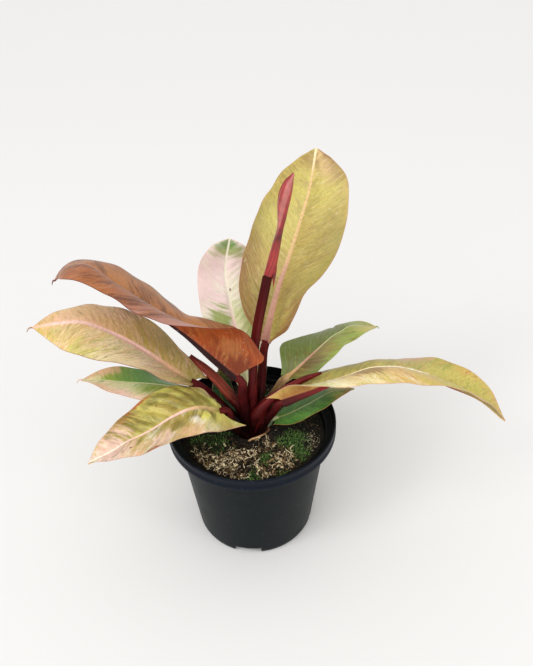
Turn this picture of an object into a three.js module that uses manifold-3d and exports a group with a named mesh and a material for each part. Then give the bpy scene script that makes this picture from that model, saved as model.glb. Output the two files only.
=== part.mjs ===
// A potted prince of orange philodendron: a nursery pot, its potting mix, a short stem with roots,
// ten leaves of blade and petiole, a rolled new leaf in its sheath, and two cataphylls.
// Millimetres, +Z up. The origin is on the pot's axis, on the face that the pot stands on.
// The plant is seen from -Y, so +X is its right and +Y its back.

import * as THREE from 'three';
import { mergeVertices } from 'three/addons/utils/BufferGeometryUtils.js';
import Module from 'manifold-3d';

const wasm = await Module();
wasm.setup();

// Clearance between neighbouring pieces.
const GAP = 0.3;

// Nursery pot, with a nominal 150 mm rim.
const POT_HEIGHT = 121;
const RIM_RADIUS = 75;
const RIM_HEIGHT = 10;
const RIM_WALL = 1.8;
const RIM_BEAD = 0.7;
const WALL = 1.6;
const BODY_TOP_RADIUS = 67;
const BODY_LOW_RADIUS = 54.5;
const FOOT_ROUNDING = 4;
const FOOT_DEPTH = 8.5;
const FOOT_WIDTH = 4;
const FLOOR_THICKNESS = 2.4;
const HUB_RADIUS = 12;
const POT_SEGMENTS = 44;
const NOTCH_COUNT = 4;
const NOTCH_HEADING = 262;
const NOTCH_WIDTH = 25;
const NOTCH_HEIGHT = 8.2;
const DRAIN_RADIUS = 5;
const DRAIN_CIRCLE = 36;

// Potting mix, whose surface is domed towards the crown and lumpy.
const MIX_EDGE_HEIGHT = 106;
const MIX_DOME = 4;
const MIX_LUMP = 1.1;
const MIX_RINGS = 6;
const MIX_SEGMENTS = 36;

// Stem with its roots. The crown is where the petioles leave it.
const CROWN = [0, -4];
const STEM_LOW = 74;
const STEM_TOP = 133;
const STEM_RADIUS = 9.5;
const ROOT_COUNT = 6;
const ROOT_REACH = 42;
const ROOT_DROP = 40;
const ROOT_RADIUS = 2.2;
const AERIAL_ROUTE = [[5, -7, 117], [15, -7, 114], [12, -11, 112.5], [5, -15, 111.6], [-1, -17, 111], [-8, -18, 104]];
const AERIAL_RADIUS = 0.9;

// Blades.
const MARGIN_THICKNESS = 0.8;
const RIB_DEPTH_BASE = 4.2;
const RIB_DEPTH_TIP = 1.1;
const LOBE_REACH = 0.25;
const TIP_ROUNDING = 0.04;
const ACROSS = [0, 0.09, 0.36, 0.7, 1];

// Petioles and other round parts. A petiole widens into a sheath at the crown.
const SECTION_SIDES = 8;
const PETIOLE_RADII = [6, 4.8, 4.1, 3.8, 3.6];
const NECK_LENGTH = 6;
const CUT_GAP = 0.4;

// Colours.
const POT_BLACK = 0x2b2e31;
const MIX_BROWN = 0x2c231a;
const STEM_MAROON = 0x4a1418;
const PETIOLE_MAROON = 0x561a1c;
const SHEATH_RED = 0x8c2a30;
const NEW_LEAF_RED = 0xa8283c;

const point = (p) => new THREE.Vector3(...p);
const radians = THREE.MathUtils.degToRad;

// A point at a heading (0 is +X, 90 is +Y), a distance from the axis and a height.
function polar(heading, reach, height) {
  const angle = radians(heading);
  return [reach * Math.cos(angle), reach * Math.sin(angle), height];
}

// Evenly spaced values, read off smoothly at a fraction of the way along.
function smoothly(values) {
  const stations = values.length > 1 ? values : [values[0], values[0]];
  const curve = new THREE.SplineCurve(stations.map((value, i) => new THREE.Vector2(i, value)));
  return (fraction) => curve.getPoint(THREE.MathUtils.clamp(fraction, 0, 1)).y;
}

// Merges a geometry's shared vertices and drops the triangles that close up at a pole.
function welded(geometry) {
  const bare = geometry.clone();
  bare.deleteAttribute('normal');
  bare.deleteAttribute('uv');
  const merged = mergeVertices(bare, 1e-4);
  const kept = [];
  for (let i = 0; i < merged.index.count; i += 3) {
    const [a, b, c] = [0, 1, 2].map((k) => merged.index.getX(i + k));
    if (a !== b && b !== c && c !== a) kept.push(a, b, c);
  }
  merged.setIndex(kept);
  return merged;
}

function toSolid(geometry) {
  const merged = welded(geometry);
  return new wasm.Manifold(new wasm.Mesh({
    numProp: 3,
    vertProperties: new Float32Array(merged.attributes.position.array),
    triVerts: new Uint32Array(merged.index.array),
  }));
}

// The largest body of a solid, as a geometry.
function toGeometry(solid) {
  const bodies = solid.decompose().sort((a, b) => b.volume() - a.volume());
  const mesh = bodies[0].getMesh();
  const geometry = new THREE.BufferGeometry();
  geometry.setAttribute('position', new THREE.BufferAttribute(new Float32Array(mesh.vertProperties), 3));
  geometry.setIndex(Array.from(mesh.triVerts));
  return geometry;
}

function joined(solids) {
  return solids.reduce((whole, solid) => whole.add(solid));
}

// A closed tube along a smooth route, with a radius read off a list of evenly spaced radii.
function taperedTube(route, radii, { steps = 10, grow = 0, sides = SECTION_SIDES } = {}) {
  const path = new THREE.CatmullRomCurve3(route.map(point), false, 'centripetal');
  const corners = Array.from({ length: sides }, (_, i) => (Math.PI * 2 * i) / sides);
  const section = new THREE.Shape(corners.map((a) => new THREE.Vector2(Math.cos(a), Math.sin(a))));
  const tube = welded(new THREE.ExtrudeGeometry(section, {
    steps,
    bevelEnabled: false,
    extrudePath: path,
  }));
  const centres = path.getSpacedPoints(steps);
  const radius = smoothly(radii);
  const position = tube.attributes.position;
  for (let i = 0; i < position.count; i += 1) {
    const vertex = new THREE.Vector3().fromBufferAttribute(position, i);
    const distances = centres.map((centre) => centre.distanceTo(vertex));
    const layer = distances.indexOf(Math.min(...distances));
    const centre = centres[layer];
    vertex.sub(centre).multiplyScalar(radius(layer / steps) + grow).add(centre);
    position.setXYZ(i, ...vertex.toArray());
  }
  return tube;
}

// The pot is one turned wall: a foot ring, a tapered body and a stepped rim with a bead at
// its top and bottom edge. Notches in the foot let the drain holes empty.
function potGeometry() {
  const ledge = POT_HEIGHT - RIM_HEIGHT;
  const floorTop = FOOT_DEPTH + FLOOR_THICKNESS;
  const footOuter = BODY_LOW_RADIUS - FOOT_ROUNDING * 0.5;
  const footInner = footOuter - FOOT_WIDTH;
  const rimInner = RIM_RADIUS - RIM_WALL;
  const outline = [
    [0, 0],
    [HUB_RADIUS, 0],
    [HUB_RADIUS, FOOT_DEPTH],
    [footInner, FOOT_DEPTH],
    [footInner, 0],
    [footOuter, 0],
    [BODY_LOW_RADIUS, FOOT_ROUNDING],
    [BODY_TOP_RADIUS, ledge - WALL],
    [RIM_RADIUS, ledge - WALL],
    [RIM_RADIUS, ledge + WALL],
    [RIM_RADIUS - RIM_BEAD, ledge + 2 * WALL],
    [RIM_RADIUS - RIM_BEAD, POT_HEIGHT - 2 * WALL],
    [RIM_RADIUS, POT_HEIGHT - WALL],
    [RIM_RADIUS - RIM_BEAD, POT_HEIGHT],
    [rimInner, POT_HEIGHT],
    [rimInner - RIM_BEAD, ledge],
    [BODY_TOP_RADIUS - WALL, ledge],
    [BODY_LOW_RADIUS - WALL, floorTop + FOOT_ROUNDING],
    [BODY_LOW_RADIUS - FOOT_ROUNDING, floorTop],
    [0, floorTop],
  ];
  const wall = new THREE.LatheGeometry(outline.map((p) => new THREE.Vector2(...p)), POT_SEGMENTS);
  wall.rotateX(Math.PI / 2);
  let pot = toSolid(wall);
  for (let i = 0; i < NOTCH_COUNT; i += 1) {
    const heading = radians(NOTCH_HEADING + (360 / NOTCH_COUNT) * i);
    const notch = new THREE.BoxGeometry(FOOT_WIDTH * 4, NOTCH_WIDTH, NOTCH_HEIGHT * 2);
    notch.translate(footInner + FOOT_WIDTH * 1.6, 0, 0);
    notch.rotateZ(heading);
    const drain = new THREE.CylinderGeometry(DRAIN_RADIUS, DRAIN_RADIUS, floorTop * 3, 10);
    drain.rotateX(Math.PI / 2);
    drain.translate(DRAIN_CIRCLE, 0, 0);
    drain.rotateZ(heading);
    pot = pot.subtract(toSolid(notch)).subtract(toSolid(drain));
  }
  return toGeometry(pot);
}

// The height of the mix over a point: a dome, and lumps of a few wavelengths across.
function mixHeight(x, y) {
  const reach = Math.hypot(x, y) / BODY_TOP_RADIUS;
  const lumps = Math.sin(x / 5.1 + 1.3) * Math.cos(y / 4.3)
    + 0.6 * Math.sin(x / 2.9 - y / 3.7)
    + 0.5 * Math.cos(x / 7.7 + y / 2.6);
  return MIX_EDGE_HEIGHT + MIX_DOME * (1 - reach * reach) + MIX_LUMP * lumps * (1 - reach ** 6);
}

function mixSolid() {
  const floor = FOOT_DEPTH + FLOOR_THICKNESS + GAP;
  const low = BODY_LOW_RADIUS - WALL - GAP;
  const top = BODY_TOP_RADIUS - WALL - GAP - 0.7;
  const outline = [[0, floor], [low - FOOT_ROUNDING, floor], [low, floor + FOOT_ROUNDING], [top, MIX_EDGE_HEIGHT]];
  for (let ring = MIX_RINGS - 1; ring >= 0; ring -= 1) outline.push([(top * ring) / MIX_RINGS, MIX_EDGE_HEIGHT]);
  const turned = new THREE.LatheGeometry(outline.map((p) => new THREE.Vector2(...p)), MIX_SEGMENTS);
  turned.rotateX(Math.PI / 2);
  const position = turned.attributes.position;
  for (let i = 0; i < position.count; i += 1) {
    const isTop = position.getZ(i) > MIX_EDGE_HEIGHT - 1;
    const inside = Math.hypot(position.getX(i), position.getY(i)) < top - 1;
    if (isTop && inside) position.setZ(i, mixHeight(position.getX(i), position.getY(i)));
  }
  return toSolid(turned);
}

// The short stem, its roots in the mix and one thin aerial root that reaches out over the mix.
function stemSolid(grow = 0) {
  const [x, y] = CROWN;
  const stem = taperedTube(
    [[x, y, STEM_LOW], [x, y, (STEM_LOW + STEM_TOP) / 2], [x, y, STEM_TOP]],
    [STEM_RADIUS * 0.55, STEM_RADIUS, STEM_RADIUS, STEM_RADIUS * 0.9, STEM_RADIUS * 0.45],
    { steps: 8, grow },
  );
  const parts = [toSolid(stem)];
  for (let i = 0; i < ROOT_COUNT; i += 1) {
    const heading = 30 + (360 / ROOT_COUNT) * i;
    const start = STEM_LOW + 6 + 3 * (i % 3);
    const route = [
      [x, y, start],
      polar(heading, ROOT_REACH * 0.45, start - ROOT_DROP * 0.15),
      polar(heading + 14, ROOT_REACH * 0.9, start - ROOT_DROP * 0.6),
      polar(heading + 8, ROOT_REACH, start - ROOT_DROP),
    ];
    parts.push(toSolid(taperedTube(route, [ROOT_RADIUS, ROOT_RADIUS, ROOT_RADIUS * 0.6], { steps: 5, sides: 5, grow })));
  }
  parts.push(toSolid(taperedTube(AERIAL_ROUTE, [AERIAL_RADIUS], { steps: 10, sides: 5, grow })));
  return joined(parts);
}

// A leaf blade. Every station along the midrib has a half width, and each half leaves the
// midrib at a rise above level and curls on from there to its margin. Near the base the margins
// sweep back into lobes, whose corners can be rounded off. The tip is rounded, and the ridge of
// the midrib stands out below.
function bladeGeometry(leaf) {
  const midrib = new THREE.CatmullRomCurve3(leaf.midrib.map(point), false, 'centripetal');
  midrib.arcLengthDivisions = 400;
  const halfWidth = smoothly(leaf.halfWidths);
  const halves = [
    { side: 1, rise: smoothly(leaf.riseLeft), curl: smoothly(leaf.curlLeft), lobe: leaf.lobes[0] },
    { side: -1, rise: smoothly(leaf.riseRight), curl: smoothly(leaf.curlRight), lobe: leaf.lobes[1] },
  ];
  const rounding = leaf.rounding ?? 0;
  const level = point(polar(leaf.heading + 90, 1, 0));
  const fractions = Array.from({ length: leaf.rows }, (_, row) => row / leaf.rows);
  fractions.push(1 - 0.3 / leaf.rows, 1);
  const upper = [];
  const lower = [];
  for (const u of fractions) {
    const centre = midrib.getPointAt(u);
    const along = midrib.getTangentAt(u);
    const across = level.clone().addScaledVector(along, -level.dot(along)).normalize();
    const out = along.clone().cross(across);
    const ribDepth = THREE.MathUtils.lerp(RIB_DEPTH_BASE, RIB_DEPTH_TIP, Math.sqrt(u));
    const left = [];
    const right = [];
    for (const half of halves) {
      const rise = radians(half.rise(u));
      const curl = radians(half.curl(u)) || 1e-6;
      const tipShare = Math.sqrt(Math.min((1 - u) / TIP_ROUNDING, 1));
      const width = Math.max(halfWidth(u) * tipShare, 0.8);
      for (const q of ACROSS) {
        const bend = rise + curl * q;
        const sideways = (width * (Math.sin(bend) - Math.sin(rise))) / curl;
        const upwards = (width * (Math.cos(rise) - Math.cos(bend))) / curl;
        const back = (half.lobe * q ** 2.4 - rounding * q ** 8) * Math.max(1 - u / LOBE_REACH, 0) ** 2;
        const top = centre.clone()
          .addScaledVector(across, half.side * sideways)
          .addScaledVector(out, upwards)
          .addScaledVector(along, -back);
        const lean = q === 0 ? 0 : bend;
        const normal = across.clone().multiplyScalar(-half.side * Math.sin(lean))
          .addScaledVector(out, Math.cos(lean));
        const thickness = q === 0 ? ribDepth : MARGIN_THICKNESS;
        const pair = [top, top.clone().addScaledVector(normal, -thickness)];
        (half.side > 0 ? left : right).push(pair);
      }
    }
    const line = [...left.reverse(), ...right.slice(1)];
    upper.push(line.map((pair) => pair[0]));
    lower.push(line.map((pair) => pair[1]));
  }
  return gridSolid(upper, lower);
}

// A closed solid between two grids of points, split into triangles alike on both faces.
function gridSolid(upper, lower) {
  const rows = upper.length;
  const columns = upper[0].length;
  const corner = (row, column, face) => (row * columns + column) * 2 + face;
  const vertices = [];
  upper.forEach((line, row) => line.forEach((p, column) => {
    vertices.push(...p.toArray(), ...lower[row][column].toArray());
  }));
  const index = [];
  const quad = (a, b, c, d) => index.push(a, b, c, a, c, d);
  for (let row = 0; row < rows - 1; row += 1) {
    for (let column = 0; column < columns - 1; column += 1) {
      const cell = (face) => [
        corner(row, column, face), corner(row, column + 1, face),
        corner(row + 1, column + 1, face), corner(row + 1, column, face),
      ];
      const [a, b, c, d] = cell(0);
      quad(a, b, c, d);
      const [e, f, g, h] = cell(1);
      index.push(e, g, f, e, h, g);
    }
    quad(corner(row, 0, 0), corner(row + 1, 0, 0), corner(row + 1, 0, 1), corner(row, 0, 1));
    const last = columns - 1;
    quad(corner(row, last, 1), corner(row + 1, last, 1), corner(row + 1, last, 0), corner(row, last, 0));
  }
  for (let column = 0; column < columns - 1; column += 1) {
    quad(corner(0, column, 1), corner(0, column + 1, 1), corner(0, column + 1, 0), corner(0, column, 0));
    const end = rows - 1;
    quad(corner(end, column, 0), corner(end, column + 1, 0), corner(end, column + 1, 1), corner(end, column, 1));
  }
  const geometry = new THREE.BufferGeometry();
  geometry.setAttribute('position', new THREE.BufferAttribute(new Float32Array(vertices), 3));
  geometry.setIndex(index);
  return geometry;
}

// The leaves. Each has the heading that it grows in, points along its petiole and its midrib,
// half widths and rises at even stations from the blade's base to its tip, and its colour.
const LEAVES = {
  tall_leaf: {
    color: 0xa59a45,
    heading: 60,
    petiole: [[3, -1, 112], [7, 4, 135], [10, 14, 158]],
    midrib: [[14, 24, 186], [26, 42, 227], [35, 54, 250], [46, 70, 279], [54, 84, 300], [60.5, 103, 328.5]],
    halfWidths: [6, 28, 39, 43, 42, 41, 38, 31, 8],
    riseLeft: [15, 10, 5, 5, 5, 0, 0],
    riseRight: [40, 45, 45, 25, 15, 15, 10],
    curlLeft: [-20, -20, -15, -10, -10, -15, -15],
    curlRight: [-40, -20, -20, -30, -30, -20, -10],
    lobes: [0, -2],
    rows: 16,
  },
  pink_leaf: {
    color: 0xe2b7b4,
    heading: 110,
    petiole: [[0, -2, 110], [1, 4, 121], [0, 11, 130]],
    midrib: [[-2, 18, 139], [-7, 35, 157], [-13, 53, 182], [-18, 67, 205], [-20.5, 77, 228], [-15, 82, 257]],
    halfWidths: [8, 16, 23, 27, 29, 29, 27, 24, 12],
    riseLeft: [30, 27, 25, 20, 18, 15, 12],
    riseRight: [25, 20, 15, 12, 12, 12, 10],
    curlLeft: [-10],
    curlRight: [-10],
    lobes: [4, 4],
    rows: 13,
  },
  orange_leaf: {
    color: 0xa85a28,
    heading: 168,
    petiole: [[-2, -6, 112], [-5, -9, 133], [-7, -10, 157]],
    midrib: [[-11, -9, 176], [-30, -4, 194], [-51, 2, 215], [-78, 10, 235], [-103, 17, 253],
      [-125, 22, 270], [-143, 26, 266], [-157, 28, 252]],
    halfWidths: [32, 40, 41, 41, 40, 38, 32, 20, 1],
    riseLeft: [95, 95, 70, 57, 48, 22, 0],
    riseRight: [45, 20, 0, -5, -8, -15, 15],
    curlLeft: [5, -17, -52, -62, -52, -44, -30],
    curlRight: [-20, -30, -40, -25, -20, -20, 5],
    lobes: [10, 0],
    rounding: 8,
    rows: 18,
  },
  left_leaf: {
    color: 0xa8934e,
    heading: 172,
    petiole: [[-3, -7, 108], [-11, -8, 122], [-27, -5, 143]],
    midrib: [[-49, 3, 161], [-64, 5, 172], [-84, 8, 189], [-102, 10, 203], [-122, 13, 214],
      [-136, 15, 219], [-153, 17, 218], [-183, 22, 210]],
    halfWidths: [10, 24, 33, 34, 35, 33, 27, 16, 1],
    riseLeft: [25, 22, 20, 5, -10, -30, -35],
    riseRight: [35, 15, 15, 10, 5, 10, 25],
    curlLeft: [-15, -5, -5, -10, -15, -25, -30],
    curlRight: [-10, -20, -15, -15, -20, -15, -5],
    lobes: [-3, 10],
    rows: 15,
  },
  left_low_leaf: {
    color: 0x5d8a34,
    heading: 172,
    petiole: [[-5, -5, 107], [-13, -4, 113], [-26, -2, 130]],
    midrib: [[-39, 1, 148], [-57, 4, 154], [-79, 7, 157], [-114, 12, 157], [-132, 15, 157], [-149, 17, 156]],
    halfWidths: [5, 14, 20, 21, 21, 20, 17, 11, 1],
    riseLeft: [15, 5, 0, 10, 15, 20, 25],
    riseRight: [-20, -25, -20, -5, 5, 15, 15],
    curlLeft: [-20, -25, -30, -20, -15, -5, 0],
    curlRight: [-30, -30, -25, -15, -5, -5, -5],
    lobes: [4, 4],
    rows: 13,
  },
  front_leaf: {
    color: 0xa59a3c,
    heading: 203,
    petiole: [[-3, -10, 108], [-9, -15, 118], [-17, -19, 133]],
    midrib: [[-24, -20.5, 149.5], [-45, -29, 161], [-62, -36, 159], [-75, -42, 154], [-87, -47, 150],
      [-100, -52, 147], [-113, -58, 142], [-131, -66, 138]],
    halfWidths: [11, 22, 28, 31, 31, 30, 23, 15, 1],
    riseLeft: [-32, -10, 8, 20, 22, 28, 38],
    riseRight: [30, 13, 18, 18, 13, 16, 24],
    curlLeft: [-18, -13, -10, -8, -13, -12, -10],
    curlRight: [10, -10, -12, -10, -15, -12, -8],
    lobes: [24, -13],
    rows: 14,
    slender: 0.8,
  },
  back_right_leaf: {
    color: 0x5c7f33,
    heading: 28,
    petiole: [[3, 0, 110], [12, 8, 126], [24, 16, 141]],
    midrib: [[33, 22, 149], [42, 26, 155], [60, 36, 168], [74, 44, 177], [82, 47, 180], [90, 52, 182],
      [117, 66, 170]],
    halfWidths: [5, 25, 28, 27, 26, 24, 20, 12, 1],
    riseLeft: [52, 27, 3, -14, -20, -10, 10],
    riseRight: [20, 22, 22, 22, 20, 22, 28],
    curlLeft: [2, -8, -17, -22, -23, -14, 2],
    curlRight: [-5, -6, -8, -9, -12, -10, -6],
    lobes: [4, 0],
    rows: 13,
  },
  long_leaf: {
    color: 0xa9a04c,
    heading: -2,
    petiole: [[4, -7, 108], [12, -9, 126], [21, -11, 141]],
    midrib: [[28, -11, 149], [50, -12, 161], [67, -12, 170], [83, -13, 178], [99, -13, 185], [114, -14, 187],
      [124, -14, 186], [144, -15, 179], [167, -16, 167], [194, -17, 152], [220, -18, 127]],
    halfWidths: [9, 22, 28, 30, 30, 29, 24, 15, 1],
    riseLeft: [15, 8, -4, -5, 16, 29, 32],
    riseRight: [100, 66, 45, 41, 49, 40, 31],
    curlLeft: [-28, -37, -44, -39, -17, -5, -3],
    curlRight: [5, -42, -58, -53, -34, -25, -15],
    lobes: [6, 12],
    rows: 18,
  },
  right_low_leaf: {
    color: 0x4f8a34,
    heading: 8,
    petiole: [[4, -4, 106], [11, -3, 112], [16, -2, 117]],
    midrib: [[21, -1, 121], [34, 1, 125], [51, 3, 134], [70, 6, 144], [91, 9, 145]],
    halfWidths: [7, 14, 17, 19, 19, 19, 16, 9, 1],
    riseLeft: [-5, -10, -15, -20, -25, -25],
    riseRight: [5, 10, 15, 15, 20, 25],
    curlLeft: [-10],
    curlRight: [-10],
    lobes: [-3, 4],
    rows: 12,
    slender: 0.6,
  },
  small_back_leaf: {
    color: 0x2f5a2a,
    heading: 140,
    petiole: [[-2, -1, 106], [-9, 2, 112], [-14, 5, 117]],
    midrib: [[-18, 8, 121], [-25, 13.5, 129], [-29, 18, 144], [-26, 24, 163]],
    halfWidths: [5, 10, 13, 13, 12, 9, 1],
    riseLeft: [25],
    riseRight: [25],
    curlLeft: [-10],
    curlRight: [-10],
    lobes: [2, 2],
    rows: 9,
    slender: 0.7,
  },
};

// Round parts that end in a tip or in a rolled blade: a route, and radii at even stations.
const SHEATHS = {
  new_leaf_sheath: {
    color: PETIOLE_MAROON,
    route: [[1, -4, 112], [1, -2, 142], [3, 1, 180], [7, 6, 211], [17, 17, 257]],
    radii: [5, 4.5, 3.9, 4, 3.9],
  },
  new_leaf: {
    color: NEW_LEAF_RED,
    route: [[17.4, 17.4, 258.2], [19.6, 19, 264], [22.9, 22, 276.5], [28.1, 26, 298], [30.5, 30, 314],
      [34.2, 33, 327.7], [38.5, 35, 336.5]],
    radii: [3.6, 4, 3.8, 3.4, 2.8, 2.8, 3.8, 4.6, 4.8, 3.6, 0.7],
    steps: 20,
  },
  right_cataphyll: {
    color: SHEATH_RED,
    route: [[2, -7, 117], [7, -7, 136], [20, -5, 150], [43, -3, 165], [60, -5, 175]],
    radii: [8, 7.6, 5, 3.6, 3.2, 2.8, 1.4],
  },
  left_cataphyll: {
    color: SHEATH_RED,
    route: [[-4, -3, 118], [-8, -1, 134], [-16, 2, 143], [-30, 7, 162], [-51, 15, 181]],
    radii: [6, 5.6, 5.2, 5, 4.6, 3.8, 2],
  },
};

// What is left of a solid when another is cut from it with clearance on every side.
function cutClear(solid, cutter) {
  const ways = [[1, 0, 0], [-1, 0, 0], [0, 1, 0], [0, -1, 0], [0, 0, 1], [0, 0, -1]];
  return ways.reduce((left, way) => left.subtract(cutter.translate(way.map((w) => w * CUT_GAP))), solid);
}

// A petiole meets its blade along the midrib's own direction and is cut clear of the blade.
function petioleSolid(leaf, grow = 0) {
  const midrib = new THREE.CatmullRomCurve3(leaf.midrib.map(point), false, 'centripetal');
  const base = midrib.getPoint(0);
  const along = midrib.getTangent(0);
  const ends = [NECK_LENGTH, GAP].map((back) => base.clone().addScaledVector(along, -back).toArray());
  const radii = PETIOLE_RADII.map((radius) => radius * (leaf.slender ?? 1));
  const petiole = toSolid(taperedTube([...leaf.petiole, ...ends], radii, { steps: 9, grow }));
  return cutClear(petiole, toSolid(bladeGeometry(leaf)));
}

function sheathSolid(sheath, grow = 0) {
  return toSolid(taperedTube(sheath.route, sheath.radii, { steps: sheath.steps ?? 11, grow }));
}

const group = new THREE.Group();

function add(name, geometry, color, roughness = 0.5) {
  const material = new THREE.MeshStandardMaterial({ color, roughness, metalness: 0 });
  const mesh = new THREE.Mesh(geometry, material);
  mesh.name = name;
  group.add(mesh);
}

// Round parts crowd at the crown. Each gives way to the ones before it, with a gap.
let taken = stemSolid(GAP);

function addRound(name, makeSolid, color) {
  add(name, toGeometry(makeSolid(0).subtract(taken)), color);
  taken = taken.add(makeSolid(GAP));
}

add('pot', potGeometry(), POT_BLACK);
add('stem_and_roots', toGeometry(stemSolid()), STEM_MAROON);
addRound('right_cataphyll', (grow) => sheathSolid(SHEATHS.right_cataphyll, grow), SHEATH_RED);
addRound('new_leaf_sheath', (grow) => sheathSolid(SHEATHS.new_leaf_sheath, grow), PETIOLE_MAROON);
add('new_leaf', toGeometry(sheathSolid(SHEATHS.new_leaf)), NEW_LEAF_RED);
for (const [name, leaf] of Object.entries(LEAVES)) {
  add(`${name}_blade`, bladeGeometry(leaf), leaf.color);
  addRound(`${name}_petiole`, (grow) => petioleSolid(leaf, grow), PETIOLE_MAROON);
}
addRound('left_cataphyll', (grow) => sheathSolid(SHEATHS.left_cataphyll, grow), SHEATH_RED);
add('potting_mix', toGeometry(mixSolid().subtract(taken)), MIX_BROWN, 1);

export default group;
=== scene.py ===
"""Looks of a potted prince of orange philodendron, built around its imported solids.

Every leaf, stalk, bud scale, the rolled new leaf, the pot and its mix get a fine mesh and a
procedural finish in place of their plain solid. Sizes are millimetres in the plant's own frame:
the origin is on the pot's axis where the pot stands, +X is the plant's right and +Z is up. Meshes
are turned into metres when their pieces are placed.
"""

import logging
import math
from abc import ABC, abstractmethod
from dataclasses import dataclass, field
from enum import Enum
from itertools import combinations
from typing import Iterable, Sequence, Union

import bpy
import numpy as np
from mathutils import Matrix, Vector
from mathutils.noise import noise


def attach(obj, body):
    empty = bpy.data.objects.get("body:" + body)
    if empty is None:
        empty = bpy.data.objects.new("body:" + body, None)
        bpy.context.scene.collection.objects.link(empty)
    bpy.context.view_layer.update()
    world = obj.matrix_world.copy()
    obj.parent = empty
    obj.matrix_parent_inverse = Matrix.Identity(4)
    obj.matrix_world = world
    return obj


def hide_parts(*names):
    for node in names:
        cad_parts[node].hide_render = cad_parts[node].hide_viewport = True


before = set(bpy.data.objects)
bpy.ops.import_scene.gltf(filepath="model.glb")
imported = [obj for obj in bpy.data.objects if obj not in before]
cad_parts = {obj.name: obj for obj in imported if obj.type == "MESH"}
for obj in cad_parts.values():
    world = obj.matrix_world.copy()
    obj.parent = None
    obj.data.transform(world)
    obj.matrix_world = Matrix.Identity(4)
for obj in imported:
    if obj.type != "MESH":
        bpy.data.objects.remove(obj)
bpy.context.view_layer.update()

MM = 0.001
BODY = "root"

log = logging.getLogger("philodendron")

Pair = tuple[float, float]
Point = tuple[float, float, float]
Beds = Sequence[tuple[float, float, float, float]]
Colour = tuple[float, float, float, float]
Array = np.ndarray
Socket = bpy.types.NodeSocket
Random = np.random.Generator
Feed = Union[float, Sequence[float], Socket]


def tint(red: int, green: int, blue: int) -> Colour:
    """The light that a shader works in, for a display colour.

    Args:
        red: Red from 0 to 255.
        green: Green from 0 to 255.
        blue: Blue from 0 to 255.

    Returns:
        The linear colour, with full alpha.
    """
    def linear(level: int) -> float:
        """One channel of the colour, linear."""
        share = level / 255
        return share / 12.92 if share <= 0.04045 else ((share + 0.055) / 1.055) ** 2.4

    return (linear(red), linear(green), linear(blue), 1.0)


class Hue(Enum):
    """The plant's pigments, as display colours."""

    OLIVE = (156, 142, 70)
    OLIVE_GOLD = (190, 168, 90)
    YELLOW_GREEN = (200, 186, 96)
    LIME = (152, 170, 78)
    LEAF_GREEN = (98, 150, 62)
    DEEP_GREEN = (60, 110, 42)
    GREY_GREEN = (120, 140, 110)
    FERN = (118, 134, 66)
    BOTTLE_GREEN = (64, 112, 74)
    DARK_OLIVE = (116, 106, 44)
    BRIGHT_LIME = (214, 210, 104)
    MOSS_BROWN = (126, 104, 60)
    BROWN_ORANGE = (174, 118, 64)
    BRONZE = (148, 114, 68)
    CHESTNUT = (166, 98, 52)
    RUSSET = (188, 122, 66)
    UMBER = (106, 58, 32)
    RUST = (168, 76, 28)
    DEEP_RUST = (122, 50, 20)
    GOLD = (216, 178, 98)
    HONEY = (224, 188, 132)
    PEACH = (236, 190, 152)
    DUSTY_PINK = (208, 160, 138)
    MAUVE = (186, 132, 118)
    ROSE = (255, 229, 227)
    BLUSH = (248, 208, 194)
    CREAM = (244, 228, 184)
    PALE_CREAM = (255, 248, 228)
    PALE_LIME = (216, 222, 164)
    MAROON = (70, 14, 17)
    DARK_MAROON = (40, 8, 10)
    WINE = (94, 24, 24)
    CRIMSON = (158, 30, 36)
    RED = (176, 54, 50)
    # Not a pigment: the colour of the rolled leaf's painted highlight.
    CORAL_HIGHLIGHT = (214, 138, 130)
    MARGIN_RED = (150, 70, 52)

    @property
    def colour(self) -> Colour:
        """The pigment in the light that a shader works in."""
        return tint(*self.value)


def hues(names: str) -> tuple[Hue, ...]:
    """The pigments of these names, in order."""
    return tuple(Hue[name] for name in names.split())


class Side(Enum):
    """A half of a blade, seen from its base with its upper face up."""

    LEFT = 1
    RIGHT = -1
    BOTH = 0


class Section(Enum):
    """The cross-section of a swept part."""

    ROUND = "round"
    GROOVED = "grooved"
    KEELED = "keeled"
    ROLLED = "rolled"

    def radial(self, angles: Array) -> Array:
        """How far the section reaches, against its nominal radius.

        Args:
            angles: Angles from -pi to pi round the section, with 0 on its upper side.

        Returns:
            A factor for each angle.
        """
        around = np.abs(angles)
        if self is Section.GROOVED:
            return 1 - 0.26 * bell(around, 0.4) + 0.06 * bell(around - 0.8, 0.2)
        if self is Section.KEELED:
            return 0.94 - 0.3 * bell(around, 0.5) + 0.2 * bell(math.pi - around, 0.3)
        if self is Section.ROLLED:
            return 0.9 + 0.2 * (angles + math.pi) / (2 * math.pi)
        return np.ones_like(angles)


def bell(values: Array, reach: float | Array) -> Array:
    """A bell curve around 0 that is 1 at its middle."""
    return np.exp(-((values / reach) ** 2))


def hermite(
    here: Array, there: Array, leave: Array, arrive: Array, w: float | Array
) -> Array:
    """A smooth way between two values.

    Args:
        here: The value at the start.
        there: The value at the end.
        leave: The slope at the start.
        arrive: The slope at the end.
        w: How far on the way, from 0 to 1.

    Returns:
        The value there.
    """
    cubic = 2 * here - 2 * there + leave + arrive
    square = -3 * here + 3 * there - 2 * leave - arrive
    return cubic * w**3 + square * w**2 + leave * w + here


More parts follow.
